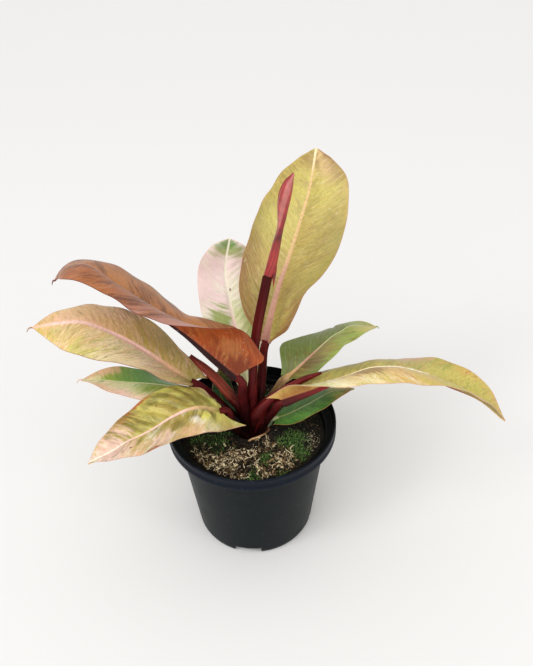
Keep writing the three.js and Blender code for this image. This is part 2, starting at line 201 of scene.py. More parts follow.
def smoothly(values: Sequence[float], shares: Array) -> Array:
    """Reads evenly spaced values off a smooth curve through them.

    Args:
        values: The values at even steps.
        shares: How far along the values to read, from 0 to 1.

    Returns:
        The value at each share.
    """
    stations = np.asarray(values if len(values) > 1 else (values[0], values[0]), float)
    last = len(stations) - 1
    place = np.clip(shares, 0, 1) * last
    start = np.minimum(place.astype(int), last - 1)
    w = place - start
    before = stations[np.maximum(start - 1, 0)]
    here = stations[start]
    there = stations[start + 1]
    after = stations[np.minimum(start + 2, last)]
    leave = (there - before) / 2
    arrive = (after - here) / 2
    return hermite(here, there, leave, arrive, w)


def ramp_up(values: Array, low: float, high: float) -> Array:
    """A smooth step from 0 at low to 1 at high, or down where low is the larger."""
    share = np.clip((values - low) / (high - low), 0, 1)
    return share * share * (3 - 2 * share)


class Route:
    """A smooth line through points, read evenly by its own length."""

    STEPS = 400
    SHORTEST = 1e-4
    NEARBY = 0.004

    def __init__(self, points: Sequence[Point]) -> None:
        """Lays the line.

        Args:
            points: The points that the line runs through, in millimetres.
        """
        self.dense = self._dense(np.asarray(points, float))
        lengths = np.linalg.norm(np.diff(self.dense, axis=0), axis=1)
        self.reached = np.concatenate([[0.0], np.cumsum(lengths)])
        self.length = float(self.reached[-1])

    def _dense(self, points: Array) -> Array:
        """Many points on the centripetal spline through the given ones.

        Args:
            points: The points that the line runs through.

        Returns:
            The points on the spline, in order.
        """
        ends = np.vstack([2 * points[0] - points[1], points, 2 * points[-1] - points[-2]])
        spans = len(points) - 1
        line = []
        for step in range(self.STEPS + 1):
            place = spans * step / self.STEPS
            span = min(int(place), spans - 1)
            w = place - span
            p0, p1, p2, p3 = ends[span:span + 4]
            chords = ((p0, p1), (p1, p2), (p2, p3))
            d0, d1, d2 = (max(math.sqrt(np.linalg.norm(b - a)), self.SHORTEST) for a, b in chords)
            leave = ((p1 - p0) / d0 - (p2 - p0) / (d0 + d1) + (p2 - p1) / d1) * d1
            arrive = ((p2 - p1) / d1 - (p3 - p1) / (d1 + d2) + (p3 - p2) / d2) * d1
            line.append(hermite(p1, p2, leave, arrive, w))
        return np.array(line)

    def at(self, shares: Array) -> Array:
        """The points at shares of the line's length."""
        reach = np.clip(shares, 0, 1) * self.length
        return np.stack([np.interp(reach, self.reached, self.dense[:, k]) for k in range(3)], -1)

    def along(self, shares: Array) -> Array:
        """The line's unit directions at shares of its length.

        Args:
            shares: Shares of the length, from 0 to 1.

        Returns:
            A direction for each share.
        """
        ahead = self.at(shares + self.NEARBY) - self.at(shares - self.NEARBY)
        return ahead / np.linalg.norm(ahead, axis=-1, keepdims=True)


def unit(vectors: Array) -> Array:
    """Vectors of length 1 in the given directions."""
    return vectors / np.maximum(np.linalg.norm(vectors, axis=-1, keepdims=True), 1e-9)


@dataclass
class Skin:
    """A closed surface in millimetres, with the values that its finish reads at each point."""

    points: Array
    faces: list[tuple[int, ...]]
    values: dict[str, Array] = field(default_factory=dict)

    @staticmethod
    def joined(skins: Iterable["Skin"]) -> "Skin":
        """One surface of several.

        Args:
            skins: Surfaces with the same kinds of values.

        Returns:
            The surface that holds them all.
        """
        skins = list(skins)
        faces: list[tuple[int, ...]] = []
        start = 0
        for skin in skins:
            faces += [tuple(start + corner for corner in face) for face in skin.faces]
            start += len(skin.points)
        values = {key: np.concatenate([skin.values[key] for skin in skins]) for key in skins[0].values}
        return Skin(np.vstack([skin.points for skin in skins]), faces, values)


def grid_faces(
    rows: int, columns: int, start: int = 0, wrap: bool = False, flip: bool = False
) -> list[tuple[int, ...]]:
    """The quads of a grid of points, stored row by row.

    Args:
        rows: How many rows of points.
        columns: How many points in a row.
        start: The first point's number.
        wrap: Whether each row closes on itself.
        flip: Whether the faces point the other way.

    Returns:
        The faces.
    """
    stretches = columns if wrap else columns - 1
    row, column = np.meshgrid(np.arange(rows - 1), np.arange(stretches), indexing="ij")
    beside = (column + 1) % columns
    near = row * columns
    far = near + columns
    corners = [near + column, near + beside, far + beside, far + column]
    if flip:
        corners.reverse()
    return [tuple(face) for face in (np.stack(corners, -1).reshape(-1, 4) + start).tolist()]


def tube_faces(rings: int, columns: int) -> list[tuple[int, ...]]:
    """The faces of a tube that is closed at both ends.

    Args:
        rings: How many rings of points it has.
        columns: How many points a ring has.

    Returns:
        The faces. The two points after the rings are the middles of its ends.
    """
    faces = grid_faces(rings, columns, wrap=True)
    first = rings * columns
    final = first - columns
    for column in range(columns):
        beside = (column + 1) % columns
        faces.append((first, beside, column))
        faces.append((first + 1, final + column, final + beside))
    return faces


def sweep(
    route: Route,
    radii: Sequence[float],
    section: Section = Section.ROUND,
    steps: int = 60,
    sides: int = 28,
    turn: float = 0.0,
) -> Skin:
    """A closed tube along a route.

    Args:
        route: The line that it follows.
        radii: Its radii at even steps.
        section: The shape of its section.
        steps: How many stretches it has along the route.
        sides: How many sides its section has.
        turn: How far the section turns from its start to its end, in radians.

    Returns:
        The tube, with its values along and around.
    """
    shares = np.linspace(0, 1, steps + 1)
    centres = route.at(shares)
    tangents = route.along(shares)
    inward = -centres * [1, 1, 0]
    upward = np.array([0, 0, 1.0]) + 0.5 * unit(inward)
    upward = unit(upward - (upward * tangents).sum(-1, keepdims=True) * tangents)
    sideways = np.cross(tangents, upward)
    rolled = section is Section.ROLLED
    angles = np.linspace(-math.pi, math.pi, sides + 1)[: None if rolled else -1]
    reach = section.radial(angles)
    radius = smoothly(radii, shares)
    spin = angles[None, :] + (turn * shares)[:, None]
    rings = centres[:, None] + (radius[:, None] * reach)[..., None] * (
        np.cos(spin)[..., None] * upward[:, None] + np.sin(spin)[..., None] * sideways[:, None]
    )
    columns = len(angles)
    points = np.vstack([rings.reshape(-1, 3), centres[0], centres[-1]])
    faces = tube_faces(steps + 1, columns)
    along = np.append(np.repeat(shares, columns), [0.0, 1.0])
    around = np.append(np.tile(angles, steps + 1), [0.0, 0.0])
    return Skin(points, faces, {"along": along, "around": around})


class Pen:
    """Draws the nodes of one material."""

    MIX_SHARE = 0
    MIX_GROUND = 6
    MIX_COVER = 7
    MIX_RESULT = 2
    FILM_ROUGHNESS = 0.25

    def __init__(self, name: str) -> None:
        """Starts a material.

        Args:
            name: The material's name.
        """
        self.material = bpy.data.materials.new(name)
        self.material.use_nodes = True
        self.tree = self.material.node_tree
        self.shader = self.tree.nodes["Principled BSDF"]

    def node(self, kind: str, feeds: dict[int | str, Feed], **settings: object) -> bpy.types.Node:
        """Adds a node.

        Args:
            kind: The node's type, after "ShaderNode".
            feeds: What goes into each input, a socket or a value.
            settings: The node's own settings.

        Returns:
            The node.
        """
        made = self.tree.nodes.new(f"ShaderNode{kind}")
        for key, setting in settings.items():
            setattr(made, key, setting)
        for key, feed in feeds.items():
            self.feed(made.inputs[key], feed)
        return made

    def feed(self, target: Socket, feed: Feed) -> None:
        """Joins a socket to an input, or sets the input's value.

        Args:
            target: The input.
            feed: The socket or the value.
        """
        if isinstance(feed, bpy.types.NodeSocket):
            self.tree.links.new(feed, target)
        else:
            target.default_value = feed

    def value(self, name: str) -> Socket:
        """A value that the mesh carries at each point."""
        return self.node("Attribute", {}, attribute_name=name).outputs["Fac"]

    def position(self) -> Socket:
        """The point's place on the object."""
        return self.node("TexCoord", {}).outputs["Object"]

    def height(self) -> Socket:
        """The point's height on the object, in metres."""
        return self.node("SeparateXYZ", {0: self.position()}).outputs["Z"]

    def sum(self, first: Feed, second: Feed, operation: str = "ADD") -> Socket:
        """Two values put together by an operation."""
        return self.node("Math", {0: first, 1: second}, operation=operation).outputs[0]

    def times(self, first: Feed, second: Feed) -> Socket:
        """The product of two values."""
        return self.sum(first, second, "MULTIPLY")

    def size(self, value: Feed) -> Socket:
        """A value without its sign."""
        return self.sum(value, 0.0, "ABSOLUTE")

    def window(self, value: Feed, low: float, high: float) -> Socket:
        """A smooth step from 0 at low to 1 at high, or down where low is the larger.

        Args:
            value: What is read.
            low: Where the step is 0.
            high: Where it is 1.

        Returns:
            The step, from 0 to 1.
        """
        if low > high:
            return self.sum(1.0, self.window(value, high, low), "SUBTRACT")
        feeds = {"Value": value, "From Min": low, "From Max": high}
        return self.node("MapRange", feeds, interpolation_type="SMOOTHSTEP").outputs["Result"]

    def vector(self, x: Feed, y: Feed, z: Feed = 0.0) -> Socket:
        """A vector of three values."""
        return self.node("CombineXYZ", {0: x, 1: y, 2: z}).outputs[0]

    def clouds(self, place: Socket, scale: float = 1.0, detail: float = 2.0, rough: float = 0.5) -> Socket:
        """Soft noise, around 0.5."""
        feeds = {"Vector": place, "Scale": scale, "Detail": detail, "Roughness": rough}
        return self.node("TexNoise", feeds).outputs[0]

    def blend(self, share: Feed, ground: Feed, cover: Feed, kind: str = "MIX") -> Socket:
        """One colour laid over another by a share.

        Args:
            share: How much of the cover shows, from 0 to 1.
            ground: The colour below.
            cover: The colour above.
            kind: How the two are put together.

        Returns:
            The colour that shows.
        """
        made = self.tree.nodes.new("ShaderNodeMix")
        made.data_type = "RGBA"
        made.blend_type = kind
        feeds = {self.MIX_SHARE: share, self.MIX_GROUND: ground, self.MIX_COVER: cover}
        for number, feed in feeds.items():
            self.feed(made.inputs[number], feed)
        return made.outputs[self.MIX_RESULT]

    def drawn_out(
        self, first: Socket, second: Socket, scales: Pair, seed: float = 0.0
    ) -> Socket:
        """A pattern's coordinates: two values at their own scales, and a seed."""
        return self.vector(self.times(first, scales[0]), self.times(second, scales[1]), seed)

    def graded(self, share: Feed, pigments: Sequence[Hue]) -> Socket:
        """Pigments at even steps, blended into each other."""
        return self.ramp(share, [hue.colour for hue in pigments])

    def ramp(self, share: Feed, colours: Sequence[Colour]) -> Socket:
        """Colours at even steps, blended into each other.

        Args:
            share: Where on the ramp, from 0 to 1.
            colours: The colours.

        Returns:
            The blended colour.
        """
        made = self.node("ValToRGB", {"Fac": share})
        made.color_ramp.interpolation = "EASE"
        stops = made.color_ramp.elements
        while len(stops) < len(colours):
            stops.new(0.5)
        for number, colour in enumerate(colours):
            stops[number].position = number / max(len(colours) - 1, 1)
        for stop, colour in zip(stops, colours):
            stop.color = colour
        return made.outputs["Color"]

    def relief(self, height: Socket, depth: float) -> None:
        """Raises the surface's shading by a height of 0 to 1.

        Args:
            height: The height.
            depth: The real height of 1, in millimetres.
        """
        bump = self.node("Bump", {"Height": height, "Distance": depth * MM, "Strength": 1.0})
        self.feed(self.shader.inputs["Normal"], bump.outputs[0])

    def dress(self, colour: Feed, roughness: Feed, specular: float = 0.5, coat: float = 0.0) -> None:
        """Sets the surface itself.

        Args:
            colour: Its colour.
            roughness: Its roughness.
            specular: The level of its reflections.
            coat: The share of a glossy film on it.
        """
        self.feed(self.shader.inputs["Base Color"], colour)
        self.feed(self.shader.inputs["Roughness"], roughness)
        self.shader.inputs["Specular IOR Level"].default_value = specular
        self.shader.inputs["Coat Weight"].default_value = coat
        self.shader.inputs["Coat Roughness"].default_value = self.FILM_ROUGHNESS


@dataclass(frozen=True)
class Finish(ABC):
    """A surface's look. Pieces with the same finish share one material."""

    name: str

    @abstractmethod
    def draw(self, pen: Pen) -> None:
        """Draws the material's nodes."""

    def material(self) -> bpy.types.Material:
        """The finish as a material, made when it is first asked for."""
        made = bpy.data.materials.get(self.name)
        if made is None:
            pen = Pen(self.name)
            self.draw(pen)
            made = pen.material
        return made


@dataclass(frozen=True)
class LeafPlace:
    """Where a point is on its blade, as sockets."""

    along: Socket
    across: Socket
    half: Socket
    vein: Socket
    spine: Socket


@dataclass(frozen=True)
class Mark(ABC):
    """A marking of one colour on a blade."""

    hue: Hue

    @abstractmethod
    def share(self, pen: Pen, place: LeafPlace) -> Socket:
        """How strongly the marking shows.

        Args:
            pen: Draws the material's nodes.
            place: Where a point is on its blade.

        Returns:
            A share from 0 to the marking's strength.
        """


@dataclass(frozen=True)
class Streaks(Mark):
    """Soft marks that follow the side veins.

    Attributes:
        cover: The share of the blade that they cover.
        pitch: Their spacing in millimetres.
        seed: A number that sets their places.
        strength: How strongly they show.
        side: The half that they are on.
        reach: The shares of the half width between which they show.
        drawn: How many times longer than wide they are.
    """

    cover: float = 0.4
    pitch: float = 6.0
    seed: float = 0.0
    strength: float = 0.7
    side: Side = Side.BOTH
    reach: Pair = (0.0, 1.0)
    drawn: float = 6.0

    SWAY = 14.0
    SPREAD = 0.22
    BELOW = 0.09
    ABOVE = 0.12
    AREAS = (0.38, 0.6)
    MIDDLE = (-0.02, 0.06)
    FADE = 0.1

    def share(self, pen: Pen, place: LeafPlace) -> Socket:
        """How strongly the marking shows."""
        own = self.seed + self.side.value * 3.7
        sway = pen.clouds(pen.drawn_out(place.vein, place.spine, (0.05, 0.09), own))
        grain = pen.vector(
            pen.times(pen.sum(place.vein, pen.times(sway, self.SWAY)), 1 / self.pitch),
            pen.times(place.spine, 1 / (self.pitch * self.drawn)),
            own,
        )
        level = 0.5 + self.SPREAD * (1 - 2 * self.cover)
        streaked = pen.clouds(grain, detail=4.5, rough=0.68)
        shown = pen.window(streaked, level - self.BELOW, level + self.ABOVE)
        area = pen.drawn_out(place.vein, place.across, (0.045, 1.6), self.seed * 5.3)
        shown = pen.times(shown, pen.window(pen.clouds(area), *self.AREAS))
        if self.side is not Side.BOTH:
            sided = pen.times(place.across, self.side.value)
            shown = pen.times(shown, pen.window(sided, *self.MIDDLE))
        low, high = self.reach
        if low > 0:
            shown = pen.times(shown, pen.window(place.half, low - self.FADE, low + self.FADE))
        if high < 1:
            shown = pen.times(shown, pen.window(place.half, high + self.FADE, high - self.FADE))
        return pen.times(shown, self.strength)


@dataclass(frozen=True)
class Patch(Mark):
    """A soft marking at one place, drawn out along the veins.

    Attributes:
        at: Its middle: the share along the blade, and across from -1, right, to 1, left.
        reach: Half its size each way, in the same shares.
        strength: How strongly it shows.
        ragged: How far its edge breaks up.
    """

    at: Pair = (0.5, 0.0)
    reach: Pair = (0.1, 0.2)
    strength: float = 0.8
    ragged: float = 0.6

    OUTSIDE = 1.15
    INSIDE = 0.35

    def share(self, pen: Pen, place: LeafPlace) -> Socket:
        """How strongly the marking shows."""
        off = pen.vector(
            pen.times(pen.sum(place.along, -self.at[0]), 1 / self.reach[0]),
            pen.times(pen.sum(place.across, -self.at[1]), 1 / self.reach[1]),
        )
        away = pen.node("VectorMath", {0: off}, operation="LENGTH").outputs["Value"]
        grain = pen.drawn_out(place.vein, place.spine, (0.3, 0.04), self.at[0] * 31)
        broken = pen.times(pen.sum(pen.clouds(grain, detail=3.0), -0.5), self.ragged * 3)
        shown = pen.window(pen.sum(away, broken), self.OUTSIDE, self.INSIDE)
        return pen.times(shown, self.strength)


@dataclass(frozen=True)
class Tones:
    """A half blade's colours at even steps from base to tip.

    Attributes:
        inner: The colours near the midrib.
        outer: The colours near the margin.
    """

    inner: tuple[Hue, ...]
    outer: tuple[Hue, ...]

    def lay(self, pen: Pen, along: Socket, edge: Socket) -> Socket:
        """The half's ground colour."""
        return pen.blend(edge, pen.graded(along, self.inner), pen.graded(along, self.outer))


def tones(inner: str, outer: str) -> Tones:
    """A half's tones, by the names of their pigments."""
    return Tones(hues(inner), hues(outer))


@dataclass(frozen=True)
class LeafFinish(Finish):
    """A variegated leaf.

    Attributes:
        left: The ground colours of the upper face's left half.
        right: Those of its right half.
        under: Those of the lower face.
        rib: The midrib's colours above, from base to tip.
        rib_under: The midrib's colours below.
        rib_width: The midrib's half width at its base and its tip, in millimetres.
        marks: The markings above, laid one over the other.
        marks_under: The markings below.
        vein: The colour of the fine side veins.
        vein_strength: How strongly they show.
        vein_pitch: Their spacing in millimetres.
        margin: The colour of the margin's line.
        margin_width: The line's width in millimetres.
        roughness: The surface's roughness.
        mottling: How far the flesh differs in lightness from spot to spot.
    """

    left: Tones
    right: Tones
    under: Tones
    rib: tuple[Hue, ...]
    rib_under: tuple[Hue, ...]
    rib_width: Pair = (2.2, 0.7)
    marks: tuple[Mark, ...] = ()
    marks_under: tuple[Mark, ...] = ()
    vein: Hue = Hue.PALE_LIME
    vein_strength: float = 0.2
    vein_pitch: float = 4.6
    margin: Hue = Hue.MARGIN_RED
    margin_width: float = 0.7
    roughness: float = 0.38
    mottling: float = 0.8

    VEINS_BELOW = 0.25
    SEAM = 0.015
    MARGIN_STRENGTH = 0.7
    MOTTLE = (0.28, 0.72)
    MOTTLE_SHADES = ((0.68, 0.72, 0.56, 1), (1, 1, 1, 1), (1.2, 1.17, 1.22, 1))
    SPOTS = (0.65, 0.73)
    SPOT_STRENGTH = 0.2
    DULL_BELOW = 0.14
    DULL_RIDGE = 0.3
    GLOSS = 0.36
    RELIEF = 0.3

    def draw(self, pen: Pen) -> None:
        """Draws the leaf's colours, veins, midrib, margin and relief."""
        along, across, vein, rim, spine, under = (
            pen.value(name) for name in ("along", "across", "vein", "rim", "spine", "under")
        )
        grain = pen.drawn_out(vein, spine, (0.16, 0.03), len(self.name))
        drift = pen.sum(pen.clouds(grain, detail=3.0, rough=0.6), -0.5)
        place = LeafPlace(along, across, pen.size(across), vein, spine)
        strayed = pen.sum(along, pen.times(drift, 0.3))
        edge = pen.window(pen.sum(place.half, pen.times(drift, 1.1)), 0.3, 1.0)
        halves = [tones.lay(pen, strayed, edge) for tones in (self.right, self.left)]
        upper = pen.blend(pen.window(across, -self.SEAM, self.SEAM), *halves)
        lower = self.under.lay(pen, strayed, edge)
        for mark in self.marks:
            upper = pen.blend(mark.share(pen, place), upper, mark.hue.colour)
        for mark in self.marks_under:
            lower = pen.blend(mark.share(pen, place), lower, mark.hue.colour)
        veined = self._veins(pen, place)
        upper = pen.blend(pen.times(veined, self.vein_strength), upper, self.vein.colour)
        lower = pen.blend(pen.times(veined, self.VEINS_BELOW), lower, Hue.DEEP_RUST.colour)
        ridge = self._midrib(pen, place)
        upper = pen.blend(ridge, upper, pen.graded(along, self.rib))
        lower = pen.blend(ridge, lower, pen.graded(along, self.rib_under))
        colour = pen.blend(under, upper, lower)
        line = pen.window(rim, self.margin_width, self.margin_width * 0.3)
        line = pen.times(line, self.MARGIN_STRENGTH)
        colour = pen.blend(line, colour, self.margin.colour)
        mottle = pen.clouds(pen.drawn_out(vein, spine, (0.5, 0.3)), detail=6.0, rough=0.75)
        shade = pen.ramp(pen.window(mottle, *self.MOTTLE), self.MOTTLE_SHADES)
        colour = pen.blend(self.mottling, colour, shade, "MULTIPLY")
        rough = pen.sum(self.roughness, pen.times(pen.sum(mottle, -0.5), 0.5))
        spots = pen.window(pen.clouds(pen.position(), 190.0, 3.0, 0.7), *self.SPOTS)
        colour = pen.blend(pen.times(spots, self.SPOT_STRENGTH), colour, Hue.PALE_CREAM.colour)
        dull = pen.times(under, pen.sum(self.DULL_BELOW, pen.times(ridge, self.DULL_RIDGE)))
        pen.dress(colour, pen.sum(rough, dull), specular=self.GLOSS)
        fine = pen.clouds(pen.position(), 900.0, 3.0)
        coarse = pen.sum(pen.times(mottle, 0.5), pen.times(veined, -0.5))
        pen.relief(pen.sum(pen.times(fine, 0.2), coarse), self.RELIEF)

    def _veins(self, pen: Pen, place: LeafPlace) -> Socket:
        """Fine side veins, which come and go.

        Args:
            pen: Draws the material's nodes.
            place: Where a point is on its blade.

        Returns:
            How strongly they show, from 0 to 1.
        """
        sway = pen.clouds(pen.drawn_out(place.vein, place.spine, (0.12, 0.06), 4.0))
        swayed = pen.sum(place.vein, pen.times(sway, 5.0))
        off = pen.sum(swayed, self.vein_pitch / 2, "PINGPONG")
        inside = pen.times(pen.window(place.half, 1.0, 0.82), pen.window(sway, 0.35, 0.62))
        return pen.times(pen.window(off, 0.5, 0.05), inside)

    def _midrib(self, pen: Pen, place: LeafPlace) -> Socket:
        """The midrib's band, which narrows fast beyond its base.

        Args:
            pen: Draws the material's nodes.
            place: Where a point is on its blade.

        Returns:
            How strongly it shows, from 0 to 1.
        """
        base, tip = self.rib_width
        left = pen.sum(pen.sum(1.0, place.along, "SUBTRACT"), 2.0, "POWER")
        width = pen.sum(tip, pen.times(left, base - tip))
        return pen.window(pen.sum(place.spine, width, "DIVIDE"), 1.12, 0.75)


@dataclass(frozen=True)
class StalkFinish(Finish):
    """A fleshy stalk, bud scale or rolled leaf with fine lengthwise lines, and painted shade low down.

    Attributes:
        hues: Its colours at even steps from base to tip.
        line: The colour of its lines.
        lines: How strongly they show.
        roughness: Its roughness.
        gloss: The level of its reflections.
        coat: The share of a glossy film on it.
        back: A painted highlight, a paler band above: its colour, its place around in radians and its half
            width.
        painted_shade_to: The heights in millimetres between which its painted shade, standing for the shadow
            low in the crown, fades out.
    """

    hues: tuple[Hue, ...]
    line: Hue = Hue.WINE
    lines: float = 0.5
    roughness: float = 0.3
    gloss: float = 0.12
    coat: float = 0.0
    back: tuple[Hue, float, float] | None = None
    # Painted shade: below these heights the colour is darkened for the shadow among the crown's stalks.
    painted_shade_to: Pair = (108.0, 166.0)

    LINES = (0.47, 0.66)
    HIGHLIGHT_ALONG = (0.3, 0.55)
    HIGHLIGHT_STRENGTH = 0.6
    MOTTLE_STRENGTH = 0.7
    MOTTLE_SHADES = ((0.55, 0.55, 0.55, 1), (1.25, 1.2, 1.2, 1))
    CROWN_SHADE_TINTS = ((0.22, 0.16, 0.16, 1), (1, 1, 1, 1))
    RELIEF = 0.25

    def draw(self, pen: Pen) -> None:
        """Draws the stalk's colours and lines, a painted highlight where asked for and painted shade low
        down.
        """
        along, around = pen.value("along"), pen.value("around")
        grain = pen.drawn_out(around, along, (2.6, 2.2), len(self.name))
        streak = pen.clouds(grain, 1.0, 3.0, 0.6)
        mottle = pen.clouds(pen.position(), 160.0, 3.0)
        strayed = pen.sum(along, pen.times(pen.sum(mottle, -0.5), 0.35))
        ground = pen.graded(strayed, self.hues)
        lined = pen.times(pen.window(streak, *self.LINES), self.lines)
        colour = pen.blend(lined, ground, self.line.colour)
        # Painted highlight: a paler band high on the rolled leaf, on the side turned to the camera.
        if self.back:
            hue, middle, reach = self.back
            off = pen.size(pen.sum(pen.sum(around, pen.times(streak, 0.5)), -middle - 0.25))
            painted_highlight = pen.window(off, reach, reach * 0.3)
            painted_highlight = pen.times(painted_highlight, pen.window(along, *self.HIGHLIGHT_ALONG))
            colour = pen.blend(pen.times(painted_highlight, self.HIGHLIGHT_STRENGTH), colour, hue.colour)
        shade = pen.ramp(mottle, self.MOTTLE_SHADES)
        colour = pen.blend(self.MOTTLE_STRENGTH, colour, shade, "MULTIPLY")
        # Painted shade: darker low down, where the crown's stalks shade each other.
        low, high = self.painted_shade_to
        out_of_shade = pen.window(pen.height(), low * MM, high * MM)
        crown_shade = pen.ramp(out_of_shade, self.CROWN_SHADE_TINTS)
        colour = pen.blend(1.0, colour, crown_shade, "MULTIPLY")
        pen.dress(colour, pen.sum(self.roughness, pen.times(mottle, 0.12)), self.gloss, self.coat)
        ribs = pen.clouds(pen.drawn_out(around, along, (5.0, 3.0)), 1.0, 2.0)
        pen.relief(ribs, self.RELIEF)


@dataclass(frozen=True)
class PotFinish(Finish):
    """Moulded charcoal plastic, bluer at the rim and a little dusty, with painted shade on its inner wall."""

    body: Colour = tint(10, 18, 21)
    rim: Colour = tint(15, 22, 33)
    # Painted shade: the inner wall is darker and greyer than the body's own plastic.
    inside: Colour = tint(9, 10, 12)
    ledge: float = 108.0
    dust: Colour = tint(78, 74, 70)
    scuff: Colour = tint(110, 110, 110)

    DUST_STRENGTH = 0.07
    SCUFF_STRENGTH = 0.1
    GLOSS = 0.1
    GRAIN_DEPTH = 0.06

    def draw(self, pen: Pen) -> None:
        """Draws the plastic's colour, scuffs and grain."""
        height = pen.value("height")
        colour = pen.blend(pen.window(height, self.ledge - 2, self.ledge + 3), self.body, self.rim)
        # Painted shade on the inner wall.
        colour = pen.blend(pen.value("within"), colour, self.inside)
        dust = pen.clouds(pen.position(), 45.0, 5.0, 0.65)
        dusty = pen.times(pen.window(dust, 0.5, 0.74), self.DUST_STRENGTH)
        colour = pen.blend(dusty, colour, self.dust)
        scuff = pen.clouds(pen.position(), 320.0, 3.0, 0.7)
        scuffed = pen.times(pen.window(scuff, 0.62, 0.7), self.SCUFF_STRENGTH)
        colour = pen.blend(scuffed, colour, self.scuff)
        pen.dress(colour, pen.sum(0.34, pen.times(dust, 0.2)), specular=self.GLOSS)
        pen.relief(pen.clouds(pen.position(), 1400.0, 2.0), self.GRAIN_DEPTH)


@dataclass(frozen=True)
class CrumbFinish(Finish):
    """Loose matter of the mix, whose pieces differ in shade.

    Attributes:
        dark: Its darkest colour.
        light: Its lightest colour.
        roughness: Its roughness.
        depth: The depth of its grain in millimetres.
        middle: The colour between them, where it isn't simply their blend.
    """

    dark: Colour
    light: Colour
    roughness: float = 0.9
    depth: float = 0.5
    middle: Colour | None = None

    def draw(self, pen: Pen) -> None:
        """Draws the matter's shades and grain."""
        grain = pen.clouds(pen.position(), 700.0, 4.0, 0.65)
        share = pen.sum(pen.value("shade"), pen.times(pen.sum(grain, -0.5), 0.8))
        shades = [self.dark, self.middle or self.light, self.light]
        colour = pen.ramp(pen.window(share, 0.0, 1.0), shades)
        pen.dress(colour, self.roughness, specular=0.25)
        pen.relief(grain, self.depth)


@dataclass(frozen=True)
class FloorFinish(Finish):
    """A plain pale floor."""

    colour: Colour = (0.83, 0.826, 0.82, 1.0)

    def draw(self, pen: Pen) -> None:
        """Sets the floor's colour."""
        pen.dress(self.colour, 0.9, specular=0.1)


def in_scene(name: str, data: bpy.types.ID) -> bpy.types.Object:
    """A new object in the scene."""
    made = bpy.data.objects.new(name, data)
    bpy.context.scene.collection.objects.link(made)
    return made


def place(
    name: str, skin: Skin, finish: Finish, slot: str, stands_for: Sequence[str] = (), crease: float = 50.0
) -> bpy.types.Object:
    """Makes a piece of the plant and sets it on the frame.

    Args:
        name: The piece's name.
        skin: Its surface in millimetres.
        finish: Its look.
        slot: A material slot's name.
        stands_for: The nodes that it is shown in place of.
        crease: Edges sharper than this stay sharp, in degrees.

    Returns:
        The piece.
    """
    mesh = bpy.data.meshes.new(name)
    mesh.from_pydata((skin.points * MM).tolist(), [], skin.faces)
    for key, values in skin.values.items():
        layer = mesh.attributes.new(key, "FLOAT", "POINT")
        layer.data.foreach_set("value", np.asarray(values, np.float32))
    mesh.materials.append(finish.material())
    mesh.shade_smooth()
    mesh.set_sharp_from_angle(angle=math.radians(crease))
    return set_on_frame(in_scene(name, mesh), slot, stands_for)


def set_on_frame(piece: bpy.types.Object, slot: str, stands_for: Sequence[str]) -> bpy.types.Object:
    """Sets a piece on the frame and reports it.

    Args:
        piece: The piece.
        slot: Not used.
        stands_for: The nodes that it is shown in place of.

    Returns:
        The piece.
    """
    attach(piece, BODY)
    if stands_for:
        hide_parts(*stands_for)
    log.info("%s: %d faces, for %s", piece.name, len(piece.data.polygons), ", ".join(stands_for) or "itself")
    return piece


